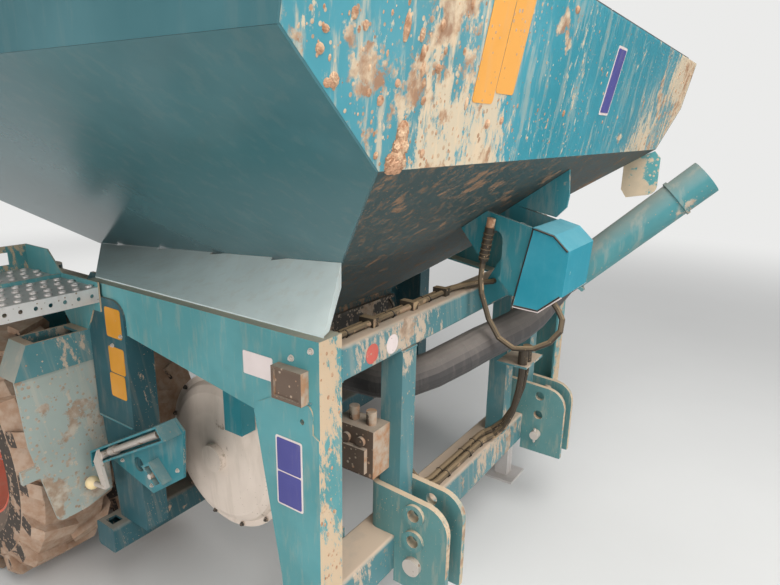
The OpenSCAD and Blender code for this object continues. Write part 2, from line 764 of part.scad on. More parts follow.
// arms from the packer beam to the carriages' pivots, with gussets
module packer_arms() {
    w = arm_w;
    color("cadetblue")
        for (side = [-1, 1])
            mirror_y(side)
                difference() {
                    union() {
                        block([beam_x0, wheel_y - w, packer_top], [axle_x, wheel_y + w, packer_top + 90]);
                        translate([axle_x, wheel_y, packer_top])
                            cylinder(h = 100, r = 70, $fn = 48);
                        for (s = [-1, 1])
                            plate_xz([[beam_x0 + 5, packer_top], [beam_x1 + 160, packer_top], [beam_x1 + 20, packer_top + 145],
                                [beam_x0 + 5, packer_top + 145]], wheel_y + s * (w + 5) - 5, 10);
                    }
                    translate([axle_x, wheel_y, packer_top - 1])
                        cylinder(h = 102, r = spindle_r + seat, $fn = 48);
                    block([beam_x1 + 30, wheel_y - w + 10, packer_top + 10],
                        [axle_x - 90, wheel_y + w - 10, packer_top + 80]);
                }
}

// the front posts, their outer leaves, and the square tube across their feet
stand_top = 345;
foot_h = 90;
foot_w = 95;
foot_y = 920;
module front_posts() {
    x0 = 800;
    inner = [[x0, stand_top], [940, stand_top], [beam_x0, 700], [beam_x0, 1035 - 4], [x0, 1005 - 4]];
    leaf = concat([[beam_x0, 700], [beam_x0, 1050]], arc([beam_x0 - 55, 1050], 55, 0, 90, 5),
        arc([x0 + 55, 1050], 55, 90, 180, 5), [[x0, 700]]);
    color("teal") {
        for (side = [-1, 1])
            mirror_y(side) {
                channel(inner, side_in, side_y, tube_t);
                plate_xz(leaf, side_y, 8);
            }
        difference() {
            union() {
                cross_tube(beam_x0 - foot_w, stand_top - foot_h, foot_w, foot_h, -foot_y, foot_y, tube_t);
                for (side = [-1, 1])
                    mirror_y(side)
                        block([beam_x0 - foot_w + 4, foot_y - 6, stand_top - foot_h + 4], [beam_x0 - 4, foot_y, stand_top - 4]);
            }
            for (side = [-1, 1])
                mirror_y(side)
                    block([beam_x0 - foot_w + 28, foot_y - 50, stand_top - 20], [beam_x0 - 28, foot_y - 15, stand_top + 1]);
        }
    }
}

module mudguards() {
    t = 5;
    z = packer_top - packer_h;
    color("cadetblue")
        for (side = [-1, 1])
            mirror_y(side) {
                plate_yz(concat([[850, z], [850, 424], [940, 398]], arc([1012, 420], 24, 270, 350, 4),
                    [[track_w / 2 + 16, 675], [track_w / 2 + 28, z]]), beam_x0 + 8, t);
                block([beam_x0 + 8, track_w / 2 - 13, 568], [beam_x0 + 22, track_w / 2 + 46, 609]);
            }
}

// platform beside the hopper: cheeks, a wall between the treads and a guard in front
arm_w = 40;
platform_y = max(side_y + 8, wheel_y + arm_w + 98);
platform_x = 905;
wall_t = 5;
wall_x = platform_x + tread_w;
guard_x = wall_x + wall_t + tread_w;
module platform_frame() {
    z = tread_z - 75;
    top = tread_z + 80;
    y1 = platform_y + platform_w;
    cheek = [[platform_x, z], [guard_x + wall_t, z], [guard_x + wall_t, top], [wall_x + 70, top],
        [wall_x, tread_z + 15], [platform_x, tread_z + 15]];
    color("teal") {
        plate_xz(cheek, platform_y, wall_t);
        plate_xz(cheek, y1 - wall_t, wall_t);
        plate_yz([[platform_y, z], [y1, z], [y1, tread_z + 12], [platform_y, tread_z + 12]], wall_x, wall_t);
        difference() {
            plate_yz([[platform_y, z], [y1, z], [y1, top], [platform_y, top]], guard_x, wall_t);
            block([guard_x - 1, platform_y + 60, tread_z + 20], [guard_x + wall_t + 1, y1 - 60, top - 20]);
        }
        plate_xz([[beam_x0, packer_top], [beam_x1, packer_top], [beam_x1 + 60, z], [beam_x0 - 40, z]], platform_y, wall_t);
    }
}

module platform_treads() {
    t = 3;
    y0 = platform_y + wall_t;
    y1 = platform_y + platform_w - wall_t;
    rows = 4;
    cols = 9;
    color("gray")
        for (x = [platform_x, wall_x + wall_t])
            difference() {
                union() {
                    block([x, y0, tread_z - tread_h], [x + tread_w, y1, tread_z]);
                    for (i = [0 : rows - 1])
                        for (j = [0 : cols - 1])
                            translate([x + tread_w * (i + 0.5) / rows, y0 + (y1 - y0) * (j + (i % 2 ? 0.7 : 0.3)) / cols, tread_z - 1])
                                cylinder(h = 6, r = 10, $fn = 24);
                }
                block([x + t, y0 - 1, tread_z - tread_h - 1], [x + tread_w - t, y1 + 1, tread_z - t]);
                for (i = [0 : rows - 1])
                    for (j = [0 : cols - 1])
                        translate([x + tread_w * (i + 0.5) / rows, y0 + (y1 - y0) * (j + (i % 2 ? 0.7 : 0.3)) / cols, tread_z - 5])
                            cylinder(h = 14, r = 6.5, $fn = 24);
                for (j = [0 : cols - 1])
                    translate([x - 1, y0 + (y1 - y0) * (j + 0.5) / cols, tread_z - tread_h / 2])
                        rotate([0, 90, 0])
                            cylinder(h = tread_w + 2, r = 6, $fn = 24);
            }
}

// the setting crank on the left front post: a plate, a tray and a pocket, both open outwards
module crank_bracket() {
    y = side_y;
    tray = [[958, 552], [958, 607], [600, 804], [566, 768]];
    color("teal") {
        difference() {
            plate_xz([[958, 607], [938, 556], [732, 513], [576, 624], [562, 775], [600, 804]], y, 8);
            across(795, 590, 24, y - 1, y + 9);
        }
        difference() {
            plate_xz(tray, y + 7, 61);
            plate_xz(inset(tray, 6), y + 14, 55);
        }
        difference() {
            plate_xz([[668, 572], [630, 598], [690, 650], [728, 624]], y + 7, 35);
            plate_xz([[668, 581], [642, 598], [690, 640], [716, 624]], y + 16, 27);
        }
    }
}

// spindle with its nut, the lever with its knob, and the second lever in the pocket
module crank_spindle() {
    y = side_y;
    color("silver") {
        rod([905, y + 42, 608.8], [626, y + 42, 762.2], 11);
        rod([880, y + 42, 622.5], [850, y + 42, 639], 15);
        plate_xz([[925, 588], [900, 634], [865, 515], [890, 505]], y + 68 + seat, 10);
        rod([897, y + 42, 612], [897, y + 69, 612], 12);
        rod([880, y + 73.3, 512], [950, y + 73.3, 500], 8);
        plate_xz([[668, 586], [650, 598], [690, 634], [708, 624]], y + 16 + seat, 12);
        rod([680, y + 22, 610], [680, y + 50, 610], 8);
    }
    color("ivory")
        translate([956, y + 73.3, 499])
            sphere(r = 21, $fn = 32);
}

module stand(side) {
    h = stand_w / 2;
    color("gray")
        mirror_y(side) {
            difference() {
                block([stand_x - h, socket_y - h, 10], [stand_x + h, socket_y + h, 560]);
                for (z = [205, 260, 525])
                    across(stand_x, z, 6.5, socket_y - h - 1, socket_y + h + 1);
            }
            block([stand_x - 75, socket_y - 75, 0], [stand_x + 75, socket_y + 75, 10]);
        }
}

// a lid: a shallow box of sheet with ribs, a handle at the rear and hinge eyes in front
lid_z = rim_z + rim_t + seat;
module lid(side) {
    t = 4;
    edge = 30;
    y1 = hop_y - edge;
    eye = 9;
    color("lightslategray")
        mirror_y(side) {
            difference() {
                union() {
                    block([hop_rear + edge, 6, lid_z], [hop_front - edge, y1, lid_z + lid_h - 6]);
                    for (k = [1 : 4])
                        block([hop_rear + edge + 60, y1 * k / 5 - 30, lid_z + 5], [hop_front - edge - 60, y1 * k / 5 + 30, lid_z + lid_h]);
                }
                block([hop_rear + edge + t, 6 + t, lid_z - 1], [hop_front - edge - t, y1 - t, lid_z + lid_h - 6 - t]);
            }
            for (y = hinge_ys)
                difference() {
                    union() {
                        block([hop_front - edge - 1, y - 30, hinge_z - 4], [hinge_x, y + 30, hinge_z + 4]);
                        across(hinge_x, hinge_z, eye, y - 30, y + 30);
                    }
                    across(hinge_x, hinge_z, 5 + seat, y - 31, y + 31);
                }
        }
}

// a carriage: pivot, leg, axle with flanges for the two wheels
module carriage(side) {
    axle_end = pair_gap / 2 + tyre_w - 30;
    color("steelblue")
        mirror_y(side) {
            translate([axle_x, wheel_y, packer_top - 8])
                cylinder(h = 108, r = spindle_r, $fn = 48);
            translate([axle_x, wheel_y, packer_top + 100 + seat])
                cylinder(h = 12, r = spindle_r + 18, $fn = 48);
            translate([axle_x, wheel_y, packer_top - 7])
                cylinder(h = 8 - seat - 1, r = 66, $fn = 48);
            plate_xz(concat(arc([axle_x, tyre_r], 62, 180, 360, 12), [[axle_x + 50, packer_top - 6], [axle_x - 50, packer_top - 6]]),
                wheel_y - leg_t / 2, leg_t);
            across(axle_x, tyre_r, 30, wheel_y - axle_end, wheel_y + axle_end);
        }
}

lugs = 17;
module tyre_at(y) {
    r0 = tyre_r - lug_h;
    w = tyre_w / 2;
    c = 16; // thickness of the carcass
    translate([axle_x, y, tyre_r])
        rotate([90, 0, 0]) {
            rotate_extrude($fn = 64)
                polygon([[rim_r, -w + 30], [rim_r + 60, -w], [r0 - 70, -w], [r0, -w + 40], [r0, w - 40],
                    [r0 - 70, w], [rim_r + 60, w], [rim_r, w - 30], [rim_r, w - 30 - c],
                    [rim_r + 60 - c / 2, w - c], [r0 - 70 - c / 2, w - c], [r0 - c, w - 40 - c],
                    [r0 - c, -w + 40 + c], [r0 - 70 - c / 2, -w + c], [rim_r + 60 - c / 2, -w + c],
                    [rim_r, -w + 30 + c]]);
            intersection() {
                difference() {
                    cylinder(h = tyre_w, r = tyre_r, center = true, $fn = 64);
                    cylinder(h = tyre_w + 2, r = r0 - 64, center = true, $fn = 64);
                    for (s = [-1, 1])
                        scale([1, 1, s])
                            translate([0, 0, w - 40])
                                difference() {
                                    cylinder(h = 41, r = tyre_r + 1, $fn = 64);
                                    translate([0, 0, -0.01])
                                        cylinder(h = 42, r1 = tyre_r + 16, r2 = tyre_r - 34, $fn = 64);
                                }
                    rotate_extrude($fn = 64)
                        polygon([[r0 - 90, -w + 12], [r0 - 71, -w + 2], [r0 - 2, -w + 41], [r0 - 2, w - 41],
                            [r0 - 71, w - 2], [r0 - 90, w - 12]]);
                }
                for (k = [0 : lugs - 1])
                    for (s = [-1, 1])
                        rotate([0, 0, 360 / lugs * (k + s / 4)])
                            rotate([s * 22, 0, 0])
                                translate([r0 - 80, -24, s > 0 ? 6 : -w - 20])
                                    cube([120, 48, w + 14]);
            }
        }
}

module tyres(side) {
    color("black")
        mirror_y(side)
            for (s = [-1, 1])
                tyre_at(wheel_y + s * (pair_gap + tyre_w) / 2);
}

// rims: barrel, dished disc and hub
module rims(side) {
    w = tyre_w / 2;
    hub_r = 85;
    color("orangered")
        mirror_y(side)
            for (s = [-1, 1])
                translate([axle_x, wheel_y + s * (pair_gap + tyre_w) / 2, tyre_r])
                    rotate([90 * s, 0, 0]) {
                        rotate_extrude($fn = 48)
                            polygon([[rim_r, -w + 30], [rim_r, w - 30], [rim_r - 8, w - 30], [rim_r - 8, 44],
                                [rim_r - 30, 40], [hub_r + 40, 12], [hub_r, 12], [hub_r - 30, 30], [30 + seat, 30],
                                [30 + seat, -46], [40, -46], [hub_r - 10, -40], [hub_r, -4], [hub_r + 40, -4],
                                [rim_r - 20, 24], [rim_r - 8, 26], [rim_r - 8, -w + 30]]);
                    }
}

translate([-x_mid, 0, 0]) {
    hopper_ends();
    hopper_rear();
    hopper_front();
    hopper_funnel();
    hopper_rim();
    hopper_supports();
    skirts();
    side_frame(1);  // side_frame_left
    side_frame(-1);  // side_frame_right
    rear_frame();
    lower_cross_tube();
    clevis(1);  // clevis_left
    clevis(-1);  // clevis_right
    link_pins();
    top_link_tower();
    tower_cover();
    metering_unit();
    air_duct();
    delivery_pipe();
    fan_housing();
    fan_cone();
    fan_guard();
    fan_rotor();
    fan_hanger();
    hydraulic_block();
    hoses();
    side_lamps();
    packer_beam();
    packer_arms();
    front_posts();
    mudguards();
    platform_frame();
    platform_treads();
    crank_bracket();
    crank_spindle();
    stand(1);  // stand_left
    stand(-1);  // stand_right
    lid(1);  // lid_left
    lid(-1);  // lid_right
    carriage(1);  // carriage_left
    carriage(-1);  // carriage_right
    tyres(1);  // tyres_left
    tyres(-1);  // tyres_right
    rims(1);  // rims_left
    rims(-1);  // rims_right
}
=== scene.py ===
# %% [markdown]
# # A front-mounted seed hopper unit with a tyre packer
# The steel, the wheels and everything that moves come from the CAD model, which is loaded as a fixed
# frame and is never edited here. This lesson adds what CAD leaves plain: the weathered paint, the dust
# and mud of a day's sowing, and the small things that a welder and a fitter add, such as bolts and ties.

# %% Load the frame
import math
import random
import bpy
import bmesh
from mathutils import Matrix, Vector


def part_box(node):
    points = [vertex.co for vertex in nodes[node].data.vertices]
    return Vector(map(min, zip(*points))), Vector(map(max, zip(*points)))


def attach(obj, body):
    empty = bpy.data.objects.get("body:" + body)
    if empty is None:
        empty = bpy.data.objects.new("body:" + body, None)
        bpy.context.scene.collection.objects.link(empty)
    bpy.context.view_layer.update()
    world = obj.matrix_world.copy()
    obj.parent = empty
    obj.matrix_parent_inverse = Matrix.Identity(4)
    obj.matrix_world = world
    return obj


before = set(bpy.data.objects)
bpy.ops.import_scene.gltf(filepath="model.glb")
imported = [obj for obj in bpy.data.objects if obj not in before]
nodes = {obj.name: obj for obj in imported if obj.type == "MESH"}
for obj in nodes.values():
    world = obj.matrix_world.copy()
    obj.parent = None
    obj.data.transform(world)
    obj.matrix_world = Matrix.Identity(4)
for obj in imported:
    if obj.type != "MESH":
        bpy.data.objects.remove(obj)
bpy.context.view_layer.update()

# %% [markdown]
# The lower link pins carry the whole unit when it is lifted, so lengths along the machine are measured
# from them. One value, read from the frame, turns such a length into the row's own X.

# %% Lengths from the link pins
MM = 0.001
CLEVIS_REAR = -105 * MM                     # the clevis' rear edge, from the pins
PINS_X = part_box("clevis_left")[0].x - CLEVIS_REAR


def at(x, y, z):
    """A place given in millimetres: x from the link pins, y from the middle, z from the ground."""
    return Vector((PINS_X + x * MM, y * MM, z * MM))


print("link pins at X", round(PINS_X, 4))

# %% [markdown]
# The rear panel, the funnel and an end panel meet in one corner on each side. That corner and two slopes
# say where any spot on the rear panel is, so films and clods can be laid flat on it.

# %% The rear panel's plane
CORNER_X, CORNER_Y, CORNER_Z = -203, 1031, 1535
LEAN = 0.205                                # how far the rear panel leans back per unit of height
END_RUN = 1.394                             # how far the end panels go outwards per unit of height
REAR_UP = Vector((-LEAN, 0, 1)).normalized()
REAR_OUT = Vector((-1, 0, -LEAN)).normalized()


def on_rear(y, z, lift=0.0):
    """A place on the hopper's rear panel, lift millimetres off it."""
    return at(CORNER_X - (z - CORNER_Z) * LEAN, y, z) + REAR_OUT * lift * MM


print("rear panel's foot at X", round(on_rear(0, CORNER_Z).x, 4))

# %% [markdown]
# The photograph was taken close by, with a wide lens, from behind the left side. The camera's place was
# worked out from the machine's own sizes, so the picture's lines run as the real ones do. It is set as a
# matrix, because two measured directions say more exactly how it is held than three angles do.

# %% Camera
EYE = Vector((-1.4987, 1.798, 1.600))
RIGHT = Vector((-0.826, -0.5637, 0.019))
UP = Vector((0.164, -0.2072, 0.964))
LENS = 27.69

camera_data = bpy.data.cameras.new("camera")
camera_data.lens = LENS
camera_data.sensor_width = 36.0
camera_data.clip_start = 0.02
camera_data.clip_end = 200.0
camera = bpy.data.objects.new("camera", camera_data)
bpy.context.scene.collection.objects.link(camera)
back = RIGHT.cross(UP).normalized()
up = back.cross(RIGHT).normalized()
camera.matrix_world = Matrix((
    (RIGHT.x, up.x, back.x, EYE.x),
    (RIGHT.y, up.y, back.y, EYE.y),
    (RIGHT.z, up.z, back.z, EYE.z),
    (0, 0, 0, 1)))
bpy.context.scene.camera = camera
print("camera looks along", [round(-v, 3) for v in back])

# %% [markdown]
# ## Light and floor
# Soft light comes from a big lamp overhead and weaker ones behind, beside and ahead of the machine. Area
# lamps are used because a small lamp would draw hard shadows, which an overcast day doesn't have.

# %% Lamps
scene = bpy.context.scene
scene.view_settings.view_transform = "Standard"


def lamp(name, place, target, size, power):
    """A square area lamp at a place, turned towards a target."""
    data = bpy.data.lights.new(name, "AREA")
    data.shape = "SQUARE"
    data.size = size
    data.energy = power
    obj = bpy.data.objects.new(name, data)
    scene.collection.objects.link(obj)
    obj.location = place
    obj.rotation_euler = (Vector(target) - Vector(place)).to_track_quat("-Z", "Y").to_euler()


lamp("overhead", (-3.0, 1.5, 5.5), (0, 0, 0.8), 3.5, 300)
lamp("behind", (-5.5, 0.5, 2.6), (0, 0, 1.2), 3.0, 125)
lamp("beside", (-1.5, 5.5, 2.0), (0, 0, 0.8), 3.0, 140)
lamp("ahead", (5.5, -2.5, 3.2), (0, 0, 0.9), 3.0, 150)
print("lamps:", len(bpy.data.lights))

# %% [markdown]
# A pale world fills the shadows as the sky does. A Light Path node shows the camera a plain backdrop in
# its place, so the picture's background can be light without more light on the machine.

# %% World
BACKDROP = (0.83, 0.83, 0.82, 1)            # what the camera sees behind the floor
SKY = (0.80, 0.84, 0.88, 1)                 # what lights the machine
SKY_STRENGTH = 0.40

world = bpy.data.worlds.new("overcast")
scene.world = world
world.use_nodes = True
world_nodes = world.node_tree.nodes
world_nodes.clear()
sky = world_nodes.new("ShaderNodeBackground")
sky.inputs["Color"].default_value = SKY
sky.inputs["Strength"].default_value = SKY_STRENGTH
plain = world_nodes.new("ShaderNodeBackground")
plain.inputs["Color"].default_value = BACKDROP
plain.inputs["Strength"].default_value = 1.0
path = world_nodes.new("ShaderNodeLightPath")
pick = world_nodes.new("ShaderNodeMixShader")
world_out = world_nodes.new("ShaderNodeOutputWorld")
for source, target in ((path.outputs["Is Camera Ray"], pick.inputs["Fac"]),
                       (sky.outputs["Background"], pick.inputs[1]),
                       (plain.outputs["Background"], pick.inputs[2]),
                       (pick.outputs["Shader"], world_out.inputs["Surface"])):
    world.node_tree.links.new(source, target)
print("world nodes:", len(world_nodes))

# %% [markdown]
# The floor is one wide sheet half a millimetre under the tyres.

# %% Floor
FLOOR_SIZE = 60
bpy.ops.object.select_all(action="DESELECT")
bpy.ops.mesh.primitive_plane_add(size=FLOOR_SIZE, location=(0, 0, -0.0005))
floor = bpy.context.object
floor.name = "floor"
print("floor:", FLOOR_SIZE, "m across")

# %% [markdown]
# ## Weather in one group
# Every painted part wears the same five things: paint that has faded unevenly, dust that settles on what
# faces up, streaks that rain drew down the sheets, flakes of soil thrown at what faces rearwards, and
# splashes of mud that dried. They are one node group with named inputs, so that each part says only how
# much of each it has. A few helpers come first. The first two turn a picture's colour into a shader's
# numbers, and start an empty group.


# %% Colours and groups
def srgb(r, g, b):
    """A colour as a picture shows it, 0 to 255, as the linear numbers a shader takes."""
    def linear(c):
        c = c / 255
        return c / 12.92 if c <= 0.04045 else ((c + 0.055) / 1.055) ** 2.4
    return (linear(r), linear(g), linear(b), 1.0)


def new_group(name, inputs, outputs):
    """An empty shader group with its sockets, and its input and output nodes."""
    group = bpy.data.node_groups.new(name, "ShaderNodeTree")
    for label, kind, value in inputs:
        socket = group.interface.new_socket(label, in_out="INPUT", socket_type=kind)
        socket.default_value = value
    for label, kind in outputs:
        group.interface.new_socket(label, in_out="OUTPUT", socket_type=kind)
    return group, group.nodes.new("NodeGroupInput"), group.nodes.new("NodeGroupOutput")


print("a middle grey of 128 is", round(srgb(128, 128, 128)[0], 3), "to a shader")

# %% [markdown]
# A shader's sums are nodes too. Written out one by one they hide what they say, so each kind of sum gets
# a short helper, whose inputs may be numbers or the outputs of other nodes.


# %% Sums in nodes
def feed(tree, value, socket):
    """Sets a socket to a number or a colour, or links another socket to it."""
    if isinstance(value, (int, float, tuple)):
        socket.default_value = value
    else:
        tree.links.new(value, socket)


def math_node(tree, operation, a, b=None, clamp=False):
    """A Math node whose inputs are sockets or numbers."""
    node = tree.nodes.new("ShaderNodeMath")
    node.operation = operation
    node.use_clamp = clamp
    feed(tree, a, node.inputs[0])
    if b is not None:
        feed(tree, b, node.inputs[1])
    return node.outputs[0]


def add(tree, a, b, clamp=False):
    return math_node(tree, "ADD", a, b, clamp)


def subtract(tree, a, b):
    return math_node(tree, "SUBTRACT", a, b)


def multiply(tree, a, b, clamp=False):
    return math_node(tree, "MULTIPLY", a, b, clamp)


def greater(tree, a, b):
    return math_node(tree, "MAXIMUM", a, b)


def axes(tree, vector):
    """The X, Y and Z of a vector, by name."""
    node = tree.nodes.new("ShaderNodeSeparateXYZ")
    tree.links.new(vector, node.inputs["Vector"])
    return node.outputs


print("helpers for sums: add, subtract, multiply, greater, axes")

# %% [markdown]
# Soil never has a straight border. Its patterns are noises that are cut at a threshold, and a noise that
# is stretched before it is read looks drawn out.


# %% Patterns in nodes
def mix_colour(tree, factor, a, b):
    """A Mix node for two colours, each a socket or four numbers."""
    node = tree.nodes.new("ShaderNodeMix")
    node.data_type = "RGBA"
    for socket, value in ((node.inputs[0], factor), (node.inputs[6], a), (node.inputs[7], b)):
        feed(tree, value, socket)
    return node.outputs[2]


def noise(tree, vector, scale, detail=6.0, roughness=0.6):
    node = tree.nodes.new("ShaderNodeTexNoise")
    node.inputs["Scale"].default_value = scale
    node.inputs["Detail"].default_value = detail
    node.inputs["Roughness"].default_value = roughness
    tree.links.new(vector, node.inputs["Vector"])
    return node.outputs["Fac"]


def stretched(tree, vector, scale):
    node = tree.nodes.new("ShaderNodeMapping")
    node.inputs["Scale"].default_value = scale
    tree.links.new(vector, node.inputs["Vector"])
    return node.outputs["Vector"]


def threshold(tree, value, low, high):
    """0 below low, 1 above high, smooth between; low and high may be sockets."""
    node = tree.nodes.new("ShaderNodeMapRange")
    node.interpolation_type = "SMOOTHSTEP"
    tree.links.new(value, node.inputs["Value"])
    feed(tree, low, node.inputs["From Min"])
    feed(tree, high, node.inputs["From Max"])
    return node.outputs["Result"]


print("helpers for patterns: mix_colour, noise, stretched, threshold")

# %% [markdown]
# The group reads Object coordinates, which are the machine's own metres here, and the surface's normal,
# which says what faces up and what faces the rear.

# %% The group's sockets
COLOUR, NUMBER = "NodeSocketColor", "NodeSocketFloat"
DUST_COLOUR = (176, 160, 142)
MUD_COLOUR = (150, 124, 102)
weather, w_in, w_out = new_group(
    "weather",
    [("Paint", COLOUR, srgb(8, 112, 122)), ("Dust Colour", COLOUR, srgb(*DUST_COLOUR)),
     ("Mud Colour", COLOUR, srgb(*MUD_COLOUR)), ("Gloss", NUMBER, 0.35), ("Dust", NUMBER, 0.4),
     ("Mud", NUMBER, 0.3), ("Streaks", NUMBER, 0.2), ("Flakes", NUMBER, 0.5), ("Scale", NUMBER, 1.0)],
    [("Color", COLOUR), ("Roughness", NUMBER), ("Height", NUMBER)])
given = w_in.outputs
texture = weather.nodes.new("ShaderNodeTexCoord")
scaled = weather.nodes.new("ShaderNodeVectorMath")
scaled.operation = "SCALE"
weather.links.new(texture.outputs["Object"], scaled.inputs[0])
weather.links.new(given["Scale"], scaled.inputs["Scale"])
place = scaled.outputs["Vector"]
facing = axes(weather, texture.outputs["Normal"])
facing_up = greater(weather, facing["Z"], 0.0)
facing_rear = greater(weather, multiply(weather, facing["X"], -1.0), 0.0)
print("weather takes", [item.name for item in given if item.name])

# %% [markdown]
# Sun bleaches paint in wide, slow patches, so the paint goes between its own colour and a lighter one by
# a coarse noise. Dust is a thin film everywhere, and much thicker on what faces up.

# %% Paint and dust
THIN_FILM = 0.14                            # the dust on an upright sheet, where a level one has 1 more

fade = noise(weather, place, 2.3, 4)
lighter = weather.nodes.new("ShaderNodeHueSaturation")
weather.links.new(given["Paint"], lighter.inputs["Color"])
lighter.inputs["Saturation"].default_value = 0.92
lighter.inputs["Value"].default_value = 1.25
paint = mix_colour(weather, threshold(weather, fade, 0.38, 0.68), given["Paint"], lighter.outputs["Color"])

settling = multiply(weather, add(weather, facing_up, THIN_FILM), given["Dust"])
uneven = add(weather, noise(weather, place, 7.0, 8, 0.65), 0.55)
dust = multiply(weather, settling, uneven, clamp=True)
print("after paint and dust:", len(weather.nodes), "nodes")

# %% [markdown]
# Rain runs down a sheet and takes dust with it. A noise that is squeezed sideways and drawn out downwards
# gives such runs, and each height is shifted a little sideways, because the wind slants them.

# %% Streaks
SLANT = -0.16                               # metres sideways per metre of height
RUN_SHAPE = (20, 20, 1.3)                   # narrow across, long downwards

slip = weather.nodes.new("ShaderNodeVectorMath")
slip.operation = "MULTIPLY_ADD"
weather.links.new(axes(weather, place)["Z"], slip.inputs[0])
slip.inputs[1].default_value = (0, SLANT, 0)
weather.links.new(place, slip.inputs[2])
leaning = slip.outputs["Vector"]
runs = threshold(weather, noise(weather, stretched(weather, leaning, RUN_SHAPE), 1.5, 7, 0.62), 0.5, 0.66)
streak = multiply(weather, runs, given["Streaks"], clamp=True)
print("after streaks:", len(weather.nodes), "nodes")

# %% [markdown]
# What the wheels throw up dries on the surfaces that face rearwards and breaks into flakes. A fine, rough
# noise is cut at an edge, and the edge sinks where more was thrown, so that flakes grow together.

# %% Flakes
NO_FLAKES = 0.70                            # the noise hardly ever reaches this
FLAKE_SHAPE = (1.0, 1.0, 0.4)

thrown = multiply(weather, given["Flakes"], facing_rear)
zones = threshold(weather, noise(weather, place, 2.6, 3, 0.5), 0.38, 0.62)
sinking = multiply(weather, thrown, add(weather, multiply(weather, zones, 0.20), 0.10))
flake_edge = subtract(weather, NO_FLAKES, sinking)
broken = noise(weather, stretched(weather, leaning, FLAKE_SHAPE), 30, 12, 0.74)
flakes = threshold(weather, broken, flake_edge, add(weather, flake_edge, 0.05))
flakes = multiply(weather, flakes, threshold(weather, thrown, 0.02, 0.12))
print("after flakes:", len(weather.nodes), "nodes")

# %% [markdown]
# Mud comes as blots and as fine spatter, and both grow with the amount. Blots are a noise cut at an edge.
# Spatter is cells of a Voronoi texture: a drop sits in a cell's middle, as large as the noise lets it be.

# %% Mud
NO_BLOTS = 0.74
DROPS_PER_METRE = 60

amount = multiply(weather, given["Mud"], add(weather, facing_rear, 0.8))
blot_edge = subtract(weather, NO_BLOTS, multiply(weather, amount, 0.30))
blots = threshold(weather, noise(weather, place, 6.5, 12, 0.66), blot_edge, add(weather, blot_edge, 0.04))
spots = weather.nodes.new("ShaderNodeTexVoronoi")
spots.inputs["Scale"].default_value = DROPS_PER_METRE
weather.links.new(place, spots.inputs["Vector"])
drop_size = multiply(weather, noise(weather, place, 8.0, 3), multiply(weather, amount, 0.72))
spatter = threshold(weather, subtract(weather, drop_size, spots.outputs["Distance"]), 0.0, 0.05)
mud = greater(weather, blots, spatter)
print("after mud:", len(weather.nodes), "nodes")

# %% [markdown]
# The layers go over each other in the order in which they came: dust, streaks, flakes, mud. Whatever
# covers the paint is matt, and the crusts stand a little proud, which the Bump node shows.

# %% Layers together
FLAKES_COVER = 0.86
MUD_COVERS = 0.92
MATT = 0.92                                 # the roughness of soil

mottle = threshold(weather, noise(weather, place, 30, 6), 0.35, 0.65)
mud_tone = mix_colour(weather, mottle, given["Mud Colour"], given["Dust Colour"])
soiled = mix_colour(weather, dust, paint, given["Dust Colour"])
soiled = mix_colour(weather, streak, soiled, given["Dust Colour"])
soiled = mix_colour(weather, multiply(weather, flakes, FLAKES_COVER), soiled, given["Dust Colour"])
soiled = mix_colour(weather, multiply(weather, mud, MUD_COVERS), soiled, mud_tone)
weather.links.new(soiled, w_out.inputs["Color"])

crust = greater(weather, mud, flakes)
covered = greater(weather, greater(weather, dust, streak), crust)
rougher = multiply(weather, covered, subtract(weather, MATT, given["Gloss"]))
weather.links.new(add(weather, given["Gloss"], rougher, clamp=True), w_out.inputs["Roughness"])

grain = multiply(weather, noise(weather, place, 160, 3), 0.06)
lumpy = multiply(weather, crust, noise(weather, place, 55, 6))
weather.links.new(add(weather, grain, lumpy), w_out.inputs["Height"])
print("weather group:", len(weather.nodes), "nodes")

# %% [markdown]
# ## Finishes
# Each finish is a material of its own with a Principled shader, fed by the group. What is the same all
# over a surface, such as the metal's gleam under the paint, is set on the shader itself.

# %% Finish helper
SPECULAR = 0.3
CRUST_HEIGHT = 0.004
finishes = {}


def finish(name, paint, gloss, dust, mud, streaks, flakes=0.5, scale=1.0, metallic=0.0, bump=0.25,
           dust_colour=DUST_COLOUR, mud_colour=MUD_COLOUR):
    """A material whose surface is the weather group with this part's own values."""
    material = bpy.data.materials.new(name)
    material.use_nodes = True
    tree = material.node_tree
    shader = tree.nodes["Principled BSDF"]
    group = tree.nodes.new("ShaderNodeGroup")
    group.node_tree = weather
    for label, value in (("Paint", srgb(*paint)), ("Dust Colour", srgb(*dust_colour)),
                         ("Mud Colour", srgb(*mud_colour)), ("Gloss", gloss), ("Dust", dust), ("Mud", mud),
                         ("Streaks", streaks), ("Flakes", flakes), ("Scale", scale)):
        group.inputs[label].default_value = value
    tree.links.new(group.outputs["Color"], shader.inputs["Base Color"])
    tree.links.new(group.outputs["Roughness"], shader.inputs["Roughness"])
    shader.inputs["Metallic"].default_value = metallic
    shader.inputs["Specular IOR Level"].default_value = SPECULAR
    raised = tree.nodes.new("ShaderNodeBump")
    raised.inputs["Strength"].default_value = bump
    raised.inputs["Distance"].default_value = CRUST_HEIGHT
    tree.links.new(group.outputs["Height"], raised.inputs["Height"])
    tree.links.new(raised.outputs["Normal"], shader.inputs["Normal"])
    finishes[name] = material


print("specular level of every finish:", SPECULAR)
